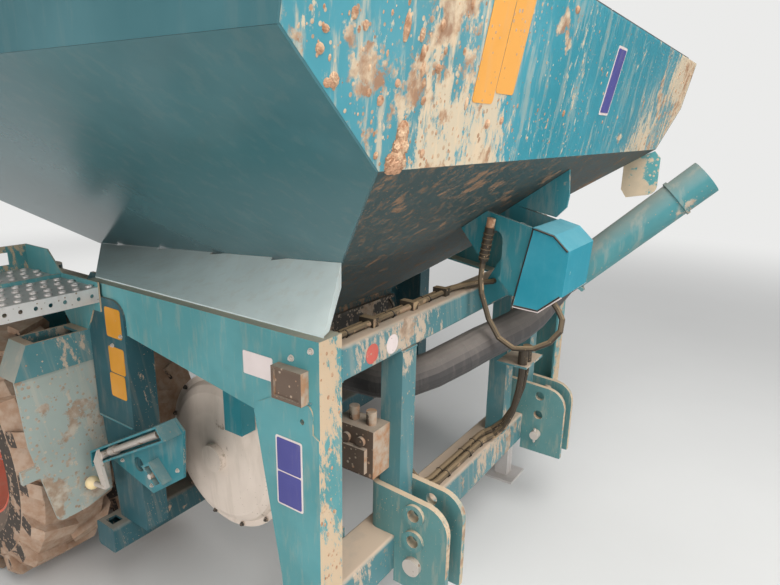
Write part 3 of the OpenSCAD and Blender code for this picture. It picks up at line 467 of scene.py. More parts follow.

# %% [markdown]
# The numbers after a finish's paint colour are its gloss, dust, mud, streaks and flakes. Paint comes
# first, and its teal is not the same on every sheet: the end panels' teal is painted darker and greyer, as
# painted shade, and the funnel's teal and dust are painted much darker, as painted shade under the hopper.
# The front posts' teal is darker too. Each sheet also carries another load of soil.

# %% Painted steel
# The end panels' darker, greyer teal is painted shade: these sheets face away from the light.
finish("end_panel", (54, 97, 103), 0.2, 0.10, 0.03, 0.04, 0.2)
finish("rear_panel", (10, 124, 140), 0.4, 0.3, 0.42, 0.34, 0.86,
       dust_colour=(200, 180, 152), mud_colour=(150, 112, 84))
# The funnel's very dark teal and its dark brown dust colour are painted shade under the hopper; the thick dust film
# itself is real.
finish("funnel", (14, 62, 68), 0.5, 1.1, 0.4, 0.85, 0.5, scale=1.5,
       dust_colour=(118, 98, 80), mud_colour=(146, 116, 92))
finish("skirt", (204, 216, 214), 0.3, 0.2, 0.08, 0.2, 1.0, dust_colour=(196, 186, 168))
finish("side_frame", (52, 132, 138), 0.34, 0.5, 0.2, 0.12, 1.05, scale=1.6, dust_colour=(202, 172, 140))
finish("beam", (10, 106, 116), 0.38, 0.85, 0.25, 0.2, 0.75, dust_colour=(190, 168, 146))
finish("post", (8, 108, 118), 0.34, 0.3, 0.20, 0.2, 0.6)
finish("front_post", (2, 72, 82), 0.4, 0.3, 0.2, 0.1, 0.45, scale=1.6, dust_colour=(186, 158, 132))
finish("clevis", (46, 118, 122), 0.36, 0.8, 0.42, 0.2, 1.0, scale=1.5, dust_colour=(196, 172, 144))
finish("cover", (0, 124, 142), 0.6, 0.18, 0.10, 0.02, 0.3, scale=2.0,
       dust_colour=(186, 210, 206), mud_colour=(96, 180, 190))
finish("support", (70, 150, 154), 0.5, 0.4, 1.25, 0.3, 1.2,
       dust_colour=(206, 184, 156), mud_colour=(214, 190, 160))
finish("pipe", (40, 118, 124), 0.42, 0.55, 0.3, 0.3, 0.5)
finish("rim", (196, 66, 24), 0.4, 0.4, 0.4, 0.2, 0.4)
finish("lid", (50, 58, 62), 0.45, 0.5, 0.2, 0.1, 0.3)
finish("mudguard", (128, 146, 142), 0.5, 1.6, 0.4, 0.4, 0.6, dust_colour=(184, 172, 156))
print(len(finishes), "finishes so far")

# %% [markdown]
# Bare metal, rubber and soil use the same group. Only their values differ: a zinc tread gleams through
# its dust, and a tyre is nearly all mud.

# %% Metal, rubber and soil
finish("steel", (196, 186, 178), 0.42, 0.6, 0.4, 0.1, 0.5, metallic=0.45)
finish("zinc", (206, 200, 196), 0.4, 0.35, 0.25, 0.2, 0.3, metallic=0.55, dust_colour=(186, 176, 166))
finish("cast", (44, 42, 40), 0.6, 0.3, 0.4, 0.1, 0.4)
finish("alloy", (150, 152, 154), 0.35, 0.2, 0.1, 0.0, 0.1, metallic=0.9)
finish("fan_disc", (204, 188, 174), 0.45, 0.3, 0.3, 0.2, 0.4, mud_colour=(160, 138, 120))
finish("duct", (44, 44, 46), 0.5, 0.45, 0.06, 0.1, 0.1, dust_colour=(150, 138, 128))
finish("rubber", (24, 22, 20), 0.5, 0.62, 0.3, 0.0, 0.5, dust_colour=(160, 136, 104))
finish("trim", (14, 14, 14), 0.6, 0.2, 0.1, 0.0, 0.2)
finish("tyre", (40, 38, 36), 0.75, 0.6, 0.95, 0.0, 0.8, bump=0.6,
       dust_colour=(180, 156, 136), mud_colour=(164, 132, 108))
finish("muddy", (84, 66, 54), 0.7, 0.6, 0.75, 0.0, 0.6, mud_colour=(166, 124, 92))
finish("clod", (168, 126, 96), 0.9, 0.3, 0.6, 0.0, 0.3, scale=2.0, bump=0.8,
       dust_colour=(206, 176, 144), mud_colour=(150, 108, 80))
print(len(finishes), "finishes so far")

# %% [markdown]
# The blank films and the crank's knob are plastic.

# %% Films and plastic
finish("yellow_film", (196, 132, 20), 0.5, 0.2, 0.3, 0.1, 0.25)
finish("blue_film", (54, 56, 126), 0.5, 0.3, 0.12, 0.1, 0.2)
finish("white_film", (204, 190, 186), 0.5, 0.3, 0.2, 0.1, 0.2)
finish("red_film", (176, 64, 50), 0.4, 0.35, 0.3, 0.1)
finish("ivory", (214, 190, 140), 0.4, 0.3, 0.3, 0.0, 0.4)
print(len(finishes), "finishes in all")

# %% [markdown]
# A skirt is a ruled sheet: straight lines run from its foot, on the side frame, to its head, on the end
# panel. CAD makes it of flat strips, whose edges would show as facets. The true normal is a formula of
# the place, so the material works it out and the strips disappear.

# %% Skirts without facets
FOOT_Y = 0.832                              # the foot's distance from the machine's middle
FOOT_START, FOOT_LENGTH = 0.077, 0.908      # from the link pins, and along the machine
HEAD_START, HEAD_LENGTH = 0.150, 1.430
MEAN_REACH = 0.26                           # how far inside the foot the head lies, on average
REACH, MORE_REACH = 0.155, 0.217            # the same at the rear end, and what it gains forwards
RISE, LESS_RISE = 0.132, 0.156              # how far over the foot the head lies, and what it loses
HEAD_FALL = 0.109                           # how steeply the head falls forwards


def smooth_skirts():
    """Feeds the skirt's Bump node the ruled sheet's true normal on its upper side."""
    tree = finishes["skirt"].node_tree
    texture = tree.nodes.new("ShaderNodeTexCoord")
    spot = axes(tree, texture.outputs["Object"])
    x = subtract(tree, spot["X"], PINS_X)
    y = math_node(tree, "ABSOLUTE", spot["Y"])
    inwards = math_node(tree, "DIVIDE", subtract(tree, FOOT_Y, y), MEAN_REACH, clamp=True)
    start = add(tree, multiply(tree, inwards, HEAD_START - FOOT_START), FOOT_START)
    span = add(tree, multiply(tree, inwards, HEAD_LENGTH - FOOT_LENGTH), FOOT_LENGTH)
    along = math_node(tree, "DIVIDE", subtract(tree, x, start), span, clamp=True)
    rise = subtract(tree, RISE, multiply(tree, along, LESS_RISE))
    reach = add(tree, multiply(tree, along, MORE_REACH), REACH)
    slope = math_node(tree, "DIVIDE", rise, reach)
    true_normal = tree.nodes.new("ShaderNodeCombineXYZ")
    feed(tree, multiply(tree, inwards, HEAD_FALL), true_normal.inputs["X"])
    feed(tree, multiply(tree, slope, math_node(tree, "SIGN", spot["Y"])), true_normal.inputs["Y"])
    feed(tree, 1.0, true_normal.inputs["Z"])
    unit = tree.nodes.new("ShaderNodeVectorMath")
    unit.operation = "NORMALIZE"
    tree.links.new(true_normal.outputs["Vector"], unit.inputs[0])
    upper = math_node(tree, "GREATER_THAN", axes(tree, texture.outputs["Normal"])["Z"], 0.5)
    chosen = tree.nodes.new("ShaderNodeMix")
    chosen.data_type = "VECTOR"
    tree.links.new(upper, chosen.inputs[0])
    tree.links.new(texture.outputs["Normal"], chosen.inputs[4])
    tree.links.new(unit.outputs["Vector"], chosen.inputs[5])
    tree.links.new(chosen.outputs[1], tree.nodes["Bump"].inputs["Normal"])


smooth_skirts()
print("skirt finish:", len(finishes["skirt"].node_tree.nodes), "nodes")

# %% [markdown]
# Soil isn't spread evenly over the rear panel. It is thick near the left end, thin in the middle, and the
# right edge is covered with a pale crust that thins out over nearly a metre. Two masks say how much more
# of each layer a spot has, and a slow noise makes their borders wander.

# %% Zones on the rear panel
WANDER = 0.9
NEAR_ZONE = (0.35, 0.8)                     # Y where the thick soil begins, and where it is full
NEAR_CORNER = (0.9, 1.1)                    # Y where it thins out again towards the corner
FAR_ZONE = (0.15, 0.95)                     # from the right edge: full, and gone


def zone_rear():
    """Feeds the rear panel's soil amounts by the place on the panel."""
    tree = finishes["rear_panel"].node_tree
    group = [node for node in tree.nodes if node.type == "GROUP"][0]
    coords = tree.nodes.new("ShaderNodeTexCoord").outputs["Object"]
    spot = axes(tree, coords)
    wander = multiply(tree, subtract(tree, noise(tree, coords, 3.0, 4), 0.5), WANDER)
    y = add(tree, spot["Y"], wander)
    corner = multiply(tree, threshold(tree, y, *NEAR_CORNER), 0.42)
    near = multiply(tree, threshold(tree, y, *NEAR_ZONE), subtract(tree, 1.0, corner))
    edge_y = add(tree, multiply(tree, spot["Z"], END_RUN), (CORNER_Y - CORNER_Z * END_RUN) * MM)
    from_edge = add(tree, add(tree, spot["Y"], edge_y), multiply(tree, wander, 0.35))
    far = subtract(tree, 1.0, threshold(tree, from_edge, *FAR_ZONE))
    thick = greater(tree, near, far)
    for label, least, more, at_edge in (("Flakes", 0.5, 0.54, 0.45), ("Dust", 0.2, 0.6, 0.9),
                                        ("Streaks", 0.3, 0.8, 0.0), ("Mud", 0.25, 0.18, 0.0)):
        value = add(tree, multiply(tree, thick, more), least)
        feed(tree, add(tree, multiply(tree, far, at_edge), value), group.inputs[label])


zone_rear()
print("rear panel finish:", len(finishes["rear_panel"].node_tree.nodes), "nodes")

# %% [markdown]
# Now the CAD nodes are dressed. A node's mesh stays as it is: only the material in its slot changes.

# %% Dress the CAD nodes
WEARERS = {
    "end_panel": "hopper_ends",
    "rear_panel": "hopper_rear hopper_front hopper_rim",
    "funnel": "hopper_funnel",
    "skirt": "skirts",
    "side_frame": "side_frame_left side_frame_right platform_frame",
    "beam": "rear_frame lower_cross_tube packer_beam packer_arms",
    "support": "hopper_supports",
    "post": "fan_hanger top_link_tower carriage_left carriage_right crank_bracket",
    "front_post": "front_posts",
    "clevis": "clevis_left clevis_right",
    "cover": "tower_cover",
    "pipe": "delivery_pipe",
    "steel": "link_pins crank_spindle",
    "zinc": "platform_treads stand_left stand_right",
    "cast": "metering_unit fan_guard",
    "duct": "air_duct",
    "fan_disc": "fan_housing fan_cone",
    "alloy": "fan_rotor",
    "rubber": "hoses",
    "muddy": "hydraulic_block side_lamps",
    "tyre": "tyres_left tyres_right",
    "rim": "rims_left rims_right",
    "lid": "lid_left lid_right",
    "mudguard": "mudguards",
}
dressed = set()
for finish_name, wearers in WEARERS.items():
    for name in wearers.split():
        nodes[name].data.materials.clear()
        nodes[name].data.materials.append(finishes[finish_name])
        dressed.add(name)
print("dressed:", len(dressed), "nodes; undressed:", sorted(set(nodes) - dressed))

# %% [markdown]
# The floor is pale and a little uneven in tone. Far out it turns into the world's own colour, for the
# camera alone, so that no edge shows where the sheet ends.

# %% Floor finish
FADE_FROM, FADE_TO = 3.0, 9.0

floor_finish = bpy.data.materials.new("pale_floor")
floor_finish.use_nodes = True
floor_tree = floor_finish.node_tree
floor_shader = floor_tree.nodes["Principled BSDF"]
floor_shader.inputs["Roughness"].default_value = 0.9
floor_coords = floor_tree.nodes.new("ShaderNodeTexCoord").outputs["Object"]
floor_mix = mix_colour(floor_tree, noise(floor_tree, floor_coords, 0.8), (0.60, 0.59, 0.57, 1), (0.66, 0.65, 0.63, 1))
floor_tree.links.new(floor_mix, floor_shader.inputs["Base Color"])
length = floor_tree.nodes.new("ShaderNodeVectorMath")
length.operation = "LENGTH"
floor_tree.links.new(floor_coords, length.inputs[0])
far_out = threshold(floor_tree, length.outputs["Value"], FADE_FROM, FADE_TO)
seen = floor_tree.nodes.new("ShaderNodeLightPath").outputs["Is Camera Ray"]
glow = floor_tree.nodes.new("ShaderNodeEmission")
glow.inputs["Color"].default_value = BACKDROP
fading = floor_tree.nodes.new("ShaderNodeMixShader")
floor_tree.links.new(multiply(floor_tree, far_out, seen), fading.inputs["Fac"])
floor_tree.links.new(floor_shader.outputs["BSDF"], fading.inputs[1])
floor_tree.links.new(glow.outputs["Emission"], fading.inputs[2])
floor_tree.links.new(fading.outputs["Shader"], floor_tree.nodes["Material Output"].inputs["Surface"])
floor.data.materials.append(floor_finish)
print("floor fades out between", FADE_FROM, "and", FADE_TO, "m")

# %% [markdown]
# ## Fasteners
# A bolt head is a short six-sided bar with its corners turned off, sitting on a washer, with a thread
# end that shows when it is a nut. It is modelled once, at the origin, and copied to every place, because
# a fitter too takes them all out of one box. The helpers come first.


# %% Selecting and joining
def pick_faces(obj, wanted):
    """In edit mode, selects the faces whose centre and normal the test accepts."""
    mesh = bmesh.from_edit_mesh(obj.data)
    for face in mesh.faces:
        face.select_set(wanted(face.calc_center_median(), face.normal))
    mesh.select_flush_mode()
    bmesh.update_edit_mesh(obj.data)


def joined(name, objects):
    """Joins several new objects into one, at the origin."""
    bpy.ops.object.select_all(action="DESELECT")
    for obj in objects:
        obj.select_set(True)
    bpy.context.view_layer.objects.active = objects[0]
    if len(objects) > 1:
        bpy.ops.object.join()
    whole = bpy.context.object
    bpy.ops.object.transform_apply(location=True, rotation=True, scale=True)
    whole.name = name
    whole.data.name = name
    return whole


def settle(obj, finish_name, body="frame"):
    """Gives a finished piece its finish and the body that carries it."""
    obj.data.materials.clear()
    obj.data.materials.append(finishes[finish_name])
    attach(obj, body)


print("helpers: pick_faces, joined, settle")

# %% [markdown]
# A copy is moved in its mesh, and not as an object, so that the finished piece sits at the origin. Each
# bolt is turned a little further than the one before, as spanners leave them.

# %% Copies of a model
TURN = 0.7


def frame_of(axis, spin=0.0):
    """A turn that takes +Z to an axis."""
    return Vector(axis).to_track_quat("Z", "Y").to_matrix().to_4x4() @ Matrix.Rotation(spin, 4, "Z")


def copies(name, model, spots, finish_name, body="frame"):
    """One piece made of copies of a model at spots of (place, axis, size); a size is one number or three."""
    made = []
    for i, (spot, axis, size) in enumerate(spots):
        mesh = model.data.copy()
        uneven = isinstance(size, tuple)
        scale = Matrix.Diagonal((*size, 1)) if uneven else Matrix.Scale(size, 4)
        mesh.transform(Matrix.Translation(spot) @ frame_of(axis, 0 if uneven else TURN * i) @ scale)
        copy = bpy.data.objects.new(name, mesh)
        scene.collection.objects.link(copy)
        made.append(copy)
    print(name + ":", len(made))
    settle(joined(name, made), finish_name, body)


print("each copy is turned by", TURN, "radians")

# %% [markdown]
# The model is an M12 nut on its washer. Inset and a small lift turn the nut's corners off.


# %% The bolt
def bolt_model():
    bpy.ops.object.select_all(action="DESELECT")
    bpy.ops.mesh.primitive_cylinder_add(vertices=6, radius=0.0107, depth=0.0075, location=(0, 0, 0.0063))
    head = bpy.context.object
    bpy.ops.object.mode_set(mode="EDIT")
    pick_faces(head, lambda c, n: n.z > 0.9)
    bpy.ops.mesh.inset(thickness=0.0016)
    bpy.ops.transform.translate(value=(0, 0, 0.0011))
    bpy.ops.object.mode_set(mode="OBJECT")
    bpy.ops.mesh.primitive_cylinder_add(vertices=20, radius=0.0135, depth=0.0026, location=(0, 0, 0.0013))
    washer = bpy.context.object
    bpy.ops.object.mode_set(mode="EDIT")
    pick_faces(washer, lambda c, n: n.z > 0.9)
    bpy.ops.mesh.bevel(offset=0.0007, segments=2)
    bpy.ops.object.mode_set(mode="OBJECT")
    bpy.ops.mesh.primitive_cylinder_add(vertices=14, radius=0.0058, depth=0.008, location=(0, 0, 0.0115))
    return joined("bolt_model", [head, washer, bpy.context.object])


bolt = bolt_model()
print("bolt:", len(bolt.data.polygons), "faces")

# %% [markdown]
# Bolts go where two plates are really held together: at the side frames' ends, on the crank's plate and
# at the platform's cheeks. The places on the side frames are mirrored, because the machine is the same
# on its right side there.

# %% Bolts on the frame
LEFT = Vector((0, 1, 0))
REARWARD = Vector((-1, 0, 0))
SIDE_Y = 860                                # the side frames' outer face
LEAF_Y = SIDE_Y + 8                         # the face of the leaf plates on the front posts
PLATFORM_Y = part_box("platform_frame")[1].y / MM
CRANK_PLATE_XZ = ((600, 640), (735, 540), (880, 575), (610, 770))
PLATFORM_XZ = ((930, 1075), (1030, 1078), (1100, 1078), (1190, 1078), (1300, 1078), (1300, 1190), (1210, 1190))

spots = []
for side in (1, -1):
    outwards = Vector((0, side, 0))
    for x, y, z, size in ((150, SIDE_Y, 1090, 0.62), (90, SIDE_Y, 1120, 0.62), (930, SIDE_Y, 1120, 0.62),
                          (819, LEAF_Y, 1000, 0.5), (868, LEAF_Y, 962, 0.5)):
        spots.append((at(x, side * y, z), outwards, size))
spots += [(at(x, LEAF_Y, z), LEFT, 0.5) for x, z in CRANK_PLATE_XZ]
spots += [(at(x, PLATFORM_Y, z), LEFT, 0.8) for x, z in PLATFORM_XZ]
copies("frame_bolts", bolt, spots, "steel")

# %% [markdown]
# The fan's cover is held by twelve bolts round its rim, and each rim by eight on its hub. Both are spots
# evenly round a middle. The wheel bolts ride on the wheels, so they turn with them.


# %% Bolts in circles
def circle(x, y, z, radius, count, outwards, size):
    """Spots evenly round a point, in a plane across the machine."""
    angles = [math.tau * (k + 0.5) / count for k in range(count)]
    return [(at(x + radius * math.cos(a), y, z + radius * math.sin(a)), outwards, size) for a in angles]


copies("fan_bolts", bolt, circle(700, 615, 548, 260, 12, LEFT, 0.62), "cast")

AXLE_X, AXLE_Z = 1530, 480
TYRE_W = 280
PAIR_GAP = 120
TRACK_W = 2140
WHEEL_Y = TRACK_W / 2 - TYRE_W - PAIR_GAP / 2        # the middle of a pair
HUB_FACE = (PAIR_GAP + TYRE_W) / 2 + 4               # a rim's bolted face, from there
for side, body in ((1, "wheels_left"), (-1, "wheels_right")):
    spots = []
    for outer in (1, -1):
        face_y = side * (WHEEL_Y + outer * HUB_FACE)
        spots += circle(AXLE_X, face_y, AXLE_Z, 105, 8, Vector((0, side * outer, 0)), 1.25)
    copies("wheel_bolts_" + body.split("_")[1], bolt, spots, "zinc", body)
bpy.data.objects.remove(bolt)

# %% [markdown]
# ## Plates and films
# Coloured films and a type plate are blank here: a thin sheet with round corners, laid on the steel and
# as dusty as it is. A sheet of its own is chosen over a patch in the paint, because its edge catches light.


# %% Film helper
FILM_THICKNESS = 0.0008


def film(name, middle, across_axis, up_axis, width, height, finish_name, corner):
    """A thin sheet with round corners: a plane, its corners bevelled, made solid, then laid in its place."""
    bpy.ops.object.select_all(action="DESELECT")
    bpy.ops.mesh.primitive_plane_add(size=1)
    sheet = bpy.context.object
    bpy.ops.object.mode_set(mode="EDIT")
    bpy.ops.mesh.select_all(action="SELECT")
    bpy.ops.transform.resize(value=(width * MM, height * MM, 1))
    bpy.ops.mesh.bevel(offset=corner, segments=4, affect="VERTICES")
    bpy.ops.object.mode_set(mode="OBJECT")
    body = sheet.modifiers.new("thickness", "SOLIDIFY")
    body.thickness = FILM_THICKNESS
    body.offset = 1
    bpy.ops.object.modifier_apply(modifier="thickness")
    across = Vector(across_axis).normalized()
    out = across.cross(Vector(up_axis).normalized())
    upwards = out.cross(across)
    sheet.data.transform(Matrix.Translation(middle) @ Matrix((
        (across.x, upwards.x, out.x, 0),
        (across.y, upwards.y, out.y, 0),
        (across.z, upwards.z, out.z, 0),
        (0, 0, 0, 1))))
    sheet.name = name
    sheet.data.name = name
    settle(sheet, finish_name)


print("films are", round(FILM_THICKNESS / MM, 2), "mm thick")

# %% [markdown]
# On the frame, a type plate is on the left side frame, two blue films lie on a white one on its leg,
# three yellow ones on the front post, and two round ones on the rear beam. Each row gives a film's X,
# lift, height, size, finish and corner radius, because a table is easier to correct than single calls.

# %% Films on the frame
FORE_AFT = (-1, 0, 0)                       # rightwards on the left side's faces
ACROSS = (0, -1, 0)                         # rightwards on the faces that look rearwards
UPRIGHT = (0, 0, 1)

for name, x, lift, z, width, height, colour, corner in (
        ("type_plate", 261, 0.2, 1044, 100, 60, "white_film", 0.004),
        ("leg_film_edge", 162, 4.2, 788, 86, 190, "white_film", 0.006),
        ("leg_film_upper", 162, 5.1, 834, 76, 88, "blue_film", 0.004),
        ("leg_film_lower", 162, 5.1, 742, 76, 88, "blue_film", 0.004),
        ("post_film_upper", 853, 8.2, 1034, 78, 92, "yellow_film", 0.008),
        ("post_film_middle", 853, 8.2, 916, 78, 84, "yellow_film", 0.008),
        ("post_film_lower", 860, 8.2, 832, 78, 78, "yellow_film", 0.008)):
    film(name, at(x, SIDE_Y + lift, z), FORE_AFT, UPRIGHT, width, height, colour, corner)
for i, (y, colour) in enumerate(((660, "red_film"), (571, "white_film"))):
    film("round_film_%d" % i, at(66.8, y, 1058), ACROSS, UPRIGHT, 52, 52, colour, 0.0245)
print("films on the frame: 9")

# %% [markdown]
# Two yellow films and a blue one with a white edge lie on the rear panel. The panel leans, so they take
# its own plane's directions.

# %% Films on the rear panel
for name, y, z, lift, width, height, colour, corner in (
        ("rear_film_left", 725, 1752, 0.3, 86, 210, "yellow_film", 0.008),
        ("rear_film_right", 637, 1764, 0.3, 84, 192, "yellow_film", 0.008),
        ("rear_film_far_edge", -85, 1743, 0.3, 92, 190, "white_film", 0.006),
        ("rear_film_far", -85, 1743, 1.2, 78, 176, "blue_film", 0.004)):
    film(name, on_rear(y, z, lift), ACROSS, REAR_UP, width, height, colour, corner)
print("films on the rear panel: 4")

# %% [markdown]
# ## Clods
# Stones and lumps of soil stick to the rear panel and to the legs. A lump is a ball whose points are
# shaken at random and which is pressed flat; a few such models, sized one by one, make them all.


# %% Clod model
def clod_model(seed, detail):
    bpy.ops.object.select_all(action="DESELECT")
    bpy.ops.mesh.primitive_ico_sphere_add(subdivisions=detail, radius=1.0)
    lump = bpy.context.object
    bpy.ops.object.mode_set(mode="EDIT")
    bpy.ops.mesh.select_all(action="SELECT")
    bpy.ops.transform.vertex_random(offset=0.16, uniform=0.1, normal=0.6, seed=seed)
    bpy.ops.mesh.vertices_smooth(factor=0.35, repeat=1)
    bpy.ops.transform.resize(value=(1, 1, 0.5))
    bpy.ops.object.mode_set(mode="OBJECT")
    return lump


chance = random.Random(11)
print("a clod starts as a ball of 1 m and is sized when it is copied")

# %% [markdown]
# The large lumps are listed one by one: the cluster low at the left corner, and single ones over the left
# half. Each row gives a lump's Y and height, and its width, height and depth, in millimetres.

# %% Large lumps
LARGE = [
    (984, 1548, 29, 20, 20), (978, 1572, 22, 16, 18), (979, 1592, 16, 22, 14), (1018, 1741, 8, 20, 8),
    (974, 1736, 7, 10, 6), (962, 1712, 7, 13, 7), (954, 1690, 6, 12, 6), (944, 1670, 5, 8, 5),
    (935, 1644, 7, 7, 5), (920, 1756, 7, 9, 5), (1163, 1659, 10, 10, 7), (1175, 1655, 8, 6, 6),
    (1016, 1665, 7, 6, 5), (1053, 1639, 8, 8, 6), (1141, 1741, 7, 8, 6), (908, 1694, 10, 7, 7),
    (681, 1612, 10, 9, 8), (618, 1620, 8, 8, 7), (1198, 1693, 8, 7, 6), (358, 1864, 14, 8, 7),
    (786, 1646, 6, 11, 5), (259, 1645, 8, 8, 6), (1192, 1716, 7, 5, 4), (1114, 1730, 6, 7, 4),
    (1083, 1648, 6, 6, 4), (897, 1722, 5, 6, 4), (834, 1728, 5, 6, 4), (840, 1800, 6, 9, 5),
    (905, 1560, 7, 8, 6), (1040, 1560, 6, 6, 5)]
lumps = [[], []]
for y, z, wide, high, deep in LARGE:
    lumps[chance.randrange(2)].append((on_rear(y, z), REAR_OUT, (wide * MM, high * MM, deep * MM)))
print("large lumps:", len(LARGE))

# %% [markdown]
# The small clods are scattered: two thirds thin out from the left end of the rear panel, one third lies
# along its right end, and the rest sits on the rear faces of the two legs.

# %% Small clods
PANEL_Z = (1545, 1880)
WIDEST = 1275                               # half the hopper's width over its knuckle
EDGE = 15                                   # kept free along the panel's ends
RIGHT_BAND = 330
LEG_FACE_X = 67
LEG_Y = (786, 858)
LEG_Z = (360, 1135)

clods = [[], [], []]
for i in range(420):
    z = chance.uniform(*PANEL_Z)
    reach = min(WIDEST, CORNER_Y + (z - CORNER_Z) * END_RUN) - EDGE
    y = reach - abs(chance.gauss(0, 0.5)) * reach if i % 3 else -reach + chance.uniform(0, RIGHT_BAND)
    if y < -reach:
        continue
    size = (1.0 + 2.6 * chance.random() ** 2) * MM * (1.6 if y < 0 else 1.0)
    clods[i % 3].append((on_rear(y, z), REAR_OUT, (size, size * chance.uniform(1, 1.7), size * 0.8)))
for i in range(130):
    size = chance.uniform(1.5, 5.0) * MM
    y = chance.choice((-1, 1)) * chance.uniform(*LEG_Y)
    spot = at(LEG_FACE_X, y, chance.uniform(*LEG_Z))
    clods[i % 3].append((spot, REARWARD, (size, size * 1.3, size * 0.7)))
for name, groups, detail in (("lumps", lumps, 4), ("clods", clods, 2)):
    for i, group in enumerate(groups):
        model = clod_model(3 + 5 * i, detail)
        copies("%s_%d" % (name, i), model, group, "clod")
        bpy.data.objects.remove(model)

# %% [markdown]
# ## Weld beads
# A bead is a row of small overlapping drops. One drop and an Array modifier make a bead of any length,
# and the bead is then laid along the joint that it closes.


# %% Bead helper
def bead(start, end, radius=3.2):
    """A weld bead from start to end."""
    way = end - start
    bpy.ops.object.select_all(action="DESELECT")
    bpy.ops.mesh.primitive_ico_sphere_add(subdivisions=2, radius=radius * MM)
    drop = bpy.context.object
    row = drop.modifiers.new("row", "ARRAY")
    row.use_relative_offset = False
    row.use_constant_offset = True
    row.constant_offset_displace = (0, 0, radius * 1.1 * MM)
    row.fit_type = "FIT_LENGTH"
    row.fit_length = way.length
    bpy.ops.object.modifier_apply(modifier="row")
    drop.data.transform(Matrix.Translation(start) @ frame_of(way))
    return drop


print("a bead's drops overlap by", round(1 - 1.1 / 2, 2), "of their width")

# %% [markdown]
# The link posts are welded to the lower tube and to the rear beam on three sides each, and the beam and
# the tube to the side frames' legs. On the outer sides, a bead closes the upper edge of the leg's leaf
# plate and the lower edge of the front post's.

# %% Weld beads
POSTS_Y = (-482.5, -247, 482.5)
POST_HALF = 36
TUBE_TOP, BEAM_FOOT = 456, 1019
LEG_IN = 779                                # just inside the legs' inner face

beads = []
for y in POSTS_Y:
    for z in (TUBE_TOP, BEAM_FOOT):
        for edge_y in (y - POST_HALF, y + POST_HALF):
            beads.append(bead(at(70, edge_y, z), at(134, edge_y, z)))
        beads.append(bead(at(66, y - 32, z), at(66, y + 32, z)))
for side in (-1, 1):
    leg_in, leg_out, leaf_out = side * LEG_IN, side * (SIDE_Y + 1), side * (LEAF_Y + 1)
    beads.append(bead(at(67, leg_in, 1025), at(67, leg_in, 1105)))
    beads.append(bead(at(72, leg_in, 1111), at(142, leg_in, 1111)))
    beads.append(bead(at(72, leg_in, TUBE_TOP), at(182, leg_in, TUBE_TOP)))
    beads.append(bead(at(66, leg_in, 345), at(66, leg_in, 445)))
    beads.append(bead(at(92, leg_out, 991), at(186, leg_out, 991)))
    beads.append(bead(at(978, leaf_out, 706), at(806, leaf_out, 706)))
welds = joined("weld_beads", beads)
bpy.ops.object.shade_smooth()
settle(welds, "post")
print("weld beads:", len(beads), "with", len(welds.data.polygons), "faces")

# %% [markdown]
# ## Ties, trim and handles
# Straps hold the hoses and the cables. A ring is turned from a torus and gets a small lock, and a bar is
# a thin curve given a round section.


# %% Rings and bars
def ring(place, axis, radius, thick=1.5):
    """A strap round a hose, with its lock."""
    bpy.ops.object.select_all(action="DESELECT")
    bpy.ops.mesh.primitive_torus_add(major_radius=radius * MM, minor_radius=thick * MM,
                                     major_segments=32, minor_segments=8)
    strap = bpy.context.object
    bpy.ops.mesh.primitive_cube_add(size=1, location=(radius * MM + 0.002, 0, 0))
    lock = bpy.context.object
    bpy.ops.object.mode_set(mode="EDIT")
    bpy.ops.mesh.select_all(action="SELECT")
    bpy.ops.transform.resize(value=(0.005, 0.006, 0.006))
    bpy.ops.mesh.bevel(offset=0.0008, segments=2)
    bpy.ops.object.mode_set(mode="OBJECT")
    strap = joined("strap", [strap, lock])
    strap.data.transform(Matrix.Translation(place) @ frame_of(axis))
    return strap


def bar(name, points, radius):
    """A round bar along points, as a mesh."""
    curve = bpy.data.curves.new(name, "CURVE")
    curve.dimensions = "3D"
    curve.bevel_depth = radius * MM
    curve.bevel_resolution = 4
    curve.use_fill_caps = True
    line = curve.splines.new("POLY")
    line.points.add(len(points) - 1)
    for point, place_of in zip(line.points, points):
        point.co = (*place_of, 1)
    obj = bpy.data.objects.new(name, curve)
    scene.collection.objects.link(obj)
    bpy.ops.object.select_all(action="DESELECT")
    obj.select_set(True)
    bpy.context.view_layer.objects.active = obj
    bpy.ops.object.convert(target="MESH")
    return bpy.context.object


print("helpers: ring, bar")

# %% [markdown]
# The two hydraulic hoses are strapped to the lower cross tube at three places, and the two harness cables
# to the rear beam at three more. Each strap is a ring, a little wider than what it holds.

# %% Straps
HOSE_Z = 467.3                              # the hoses' middle, on the lower cross tube
straps = []
for y in (180, 20, -70):
    straps += [ring(at(x, y, HOSE_Z), LEFT, 12.6) for x in (95, 122)]
for y in (720, 520, 330):
    for x, z, radius in ((105, 1119.3, 9.4), (128, 1116.3, 6.4)):
        straps.append(ring(at(x, y, z), LEFT, radius))
settle(joined("hose_straps", straps), "trim")
print("straps:", len(straps))

# %% [markdown]
# The cover over the top link tower is edged with a black rubber profile, and below its lower edge runs a
# pale line. Bars along the sheet's edges are enough, because a profile shows as a line at this size.

# %% Edges of the cover
COVER_SIDE = 117.6                          # half the cover's width, and a little over the sheet
black_lines = []
white_lines = []
for y in (COVER_SIDE, -COVER_SIDE):
    for points, radius in ((((-70, 1084), (-119, 1325)), 2.2),
                           (((-122, 1324), (-182, 1309), (-227, 1268)), 3.0),
                           (((-76, 1082), (-153, 1079), (-215, 1133)), 2.4)):
        black_lines.append(bar("edge", [at(x, y, z) for x, z in points], radius))
    pale = ((-73, 1078), (-154, 1074.5), (-221, 1132))
    white_lines.append(bar("edge", [at(x, y, z) for x, z in pale], 2.0))
settle(joined("cover_trim", black_lines), "trim")
settle(joined("cover_edge", white_lines), "white_film")
print("cover edges:", len(black_lines), "black and", len(white_lines), "white")

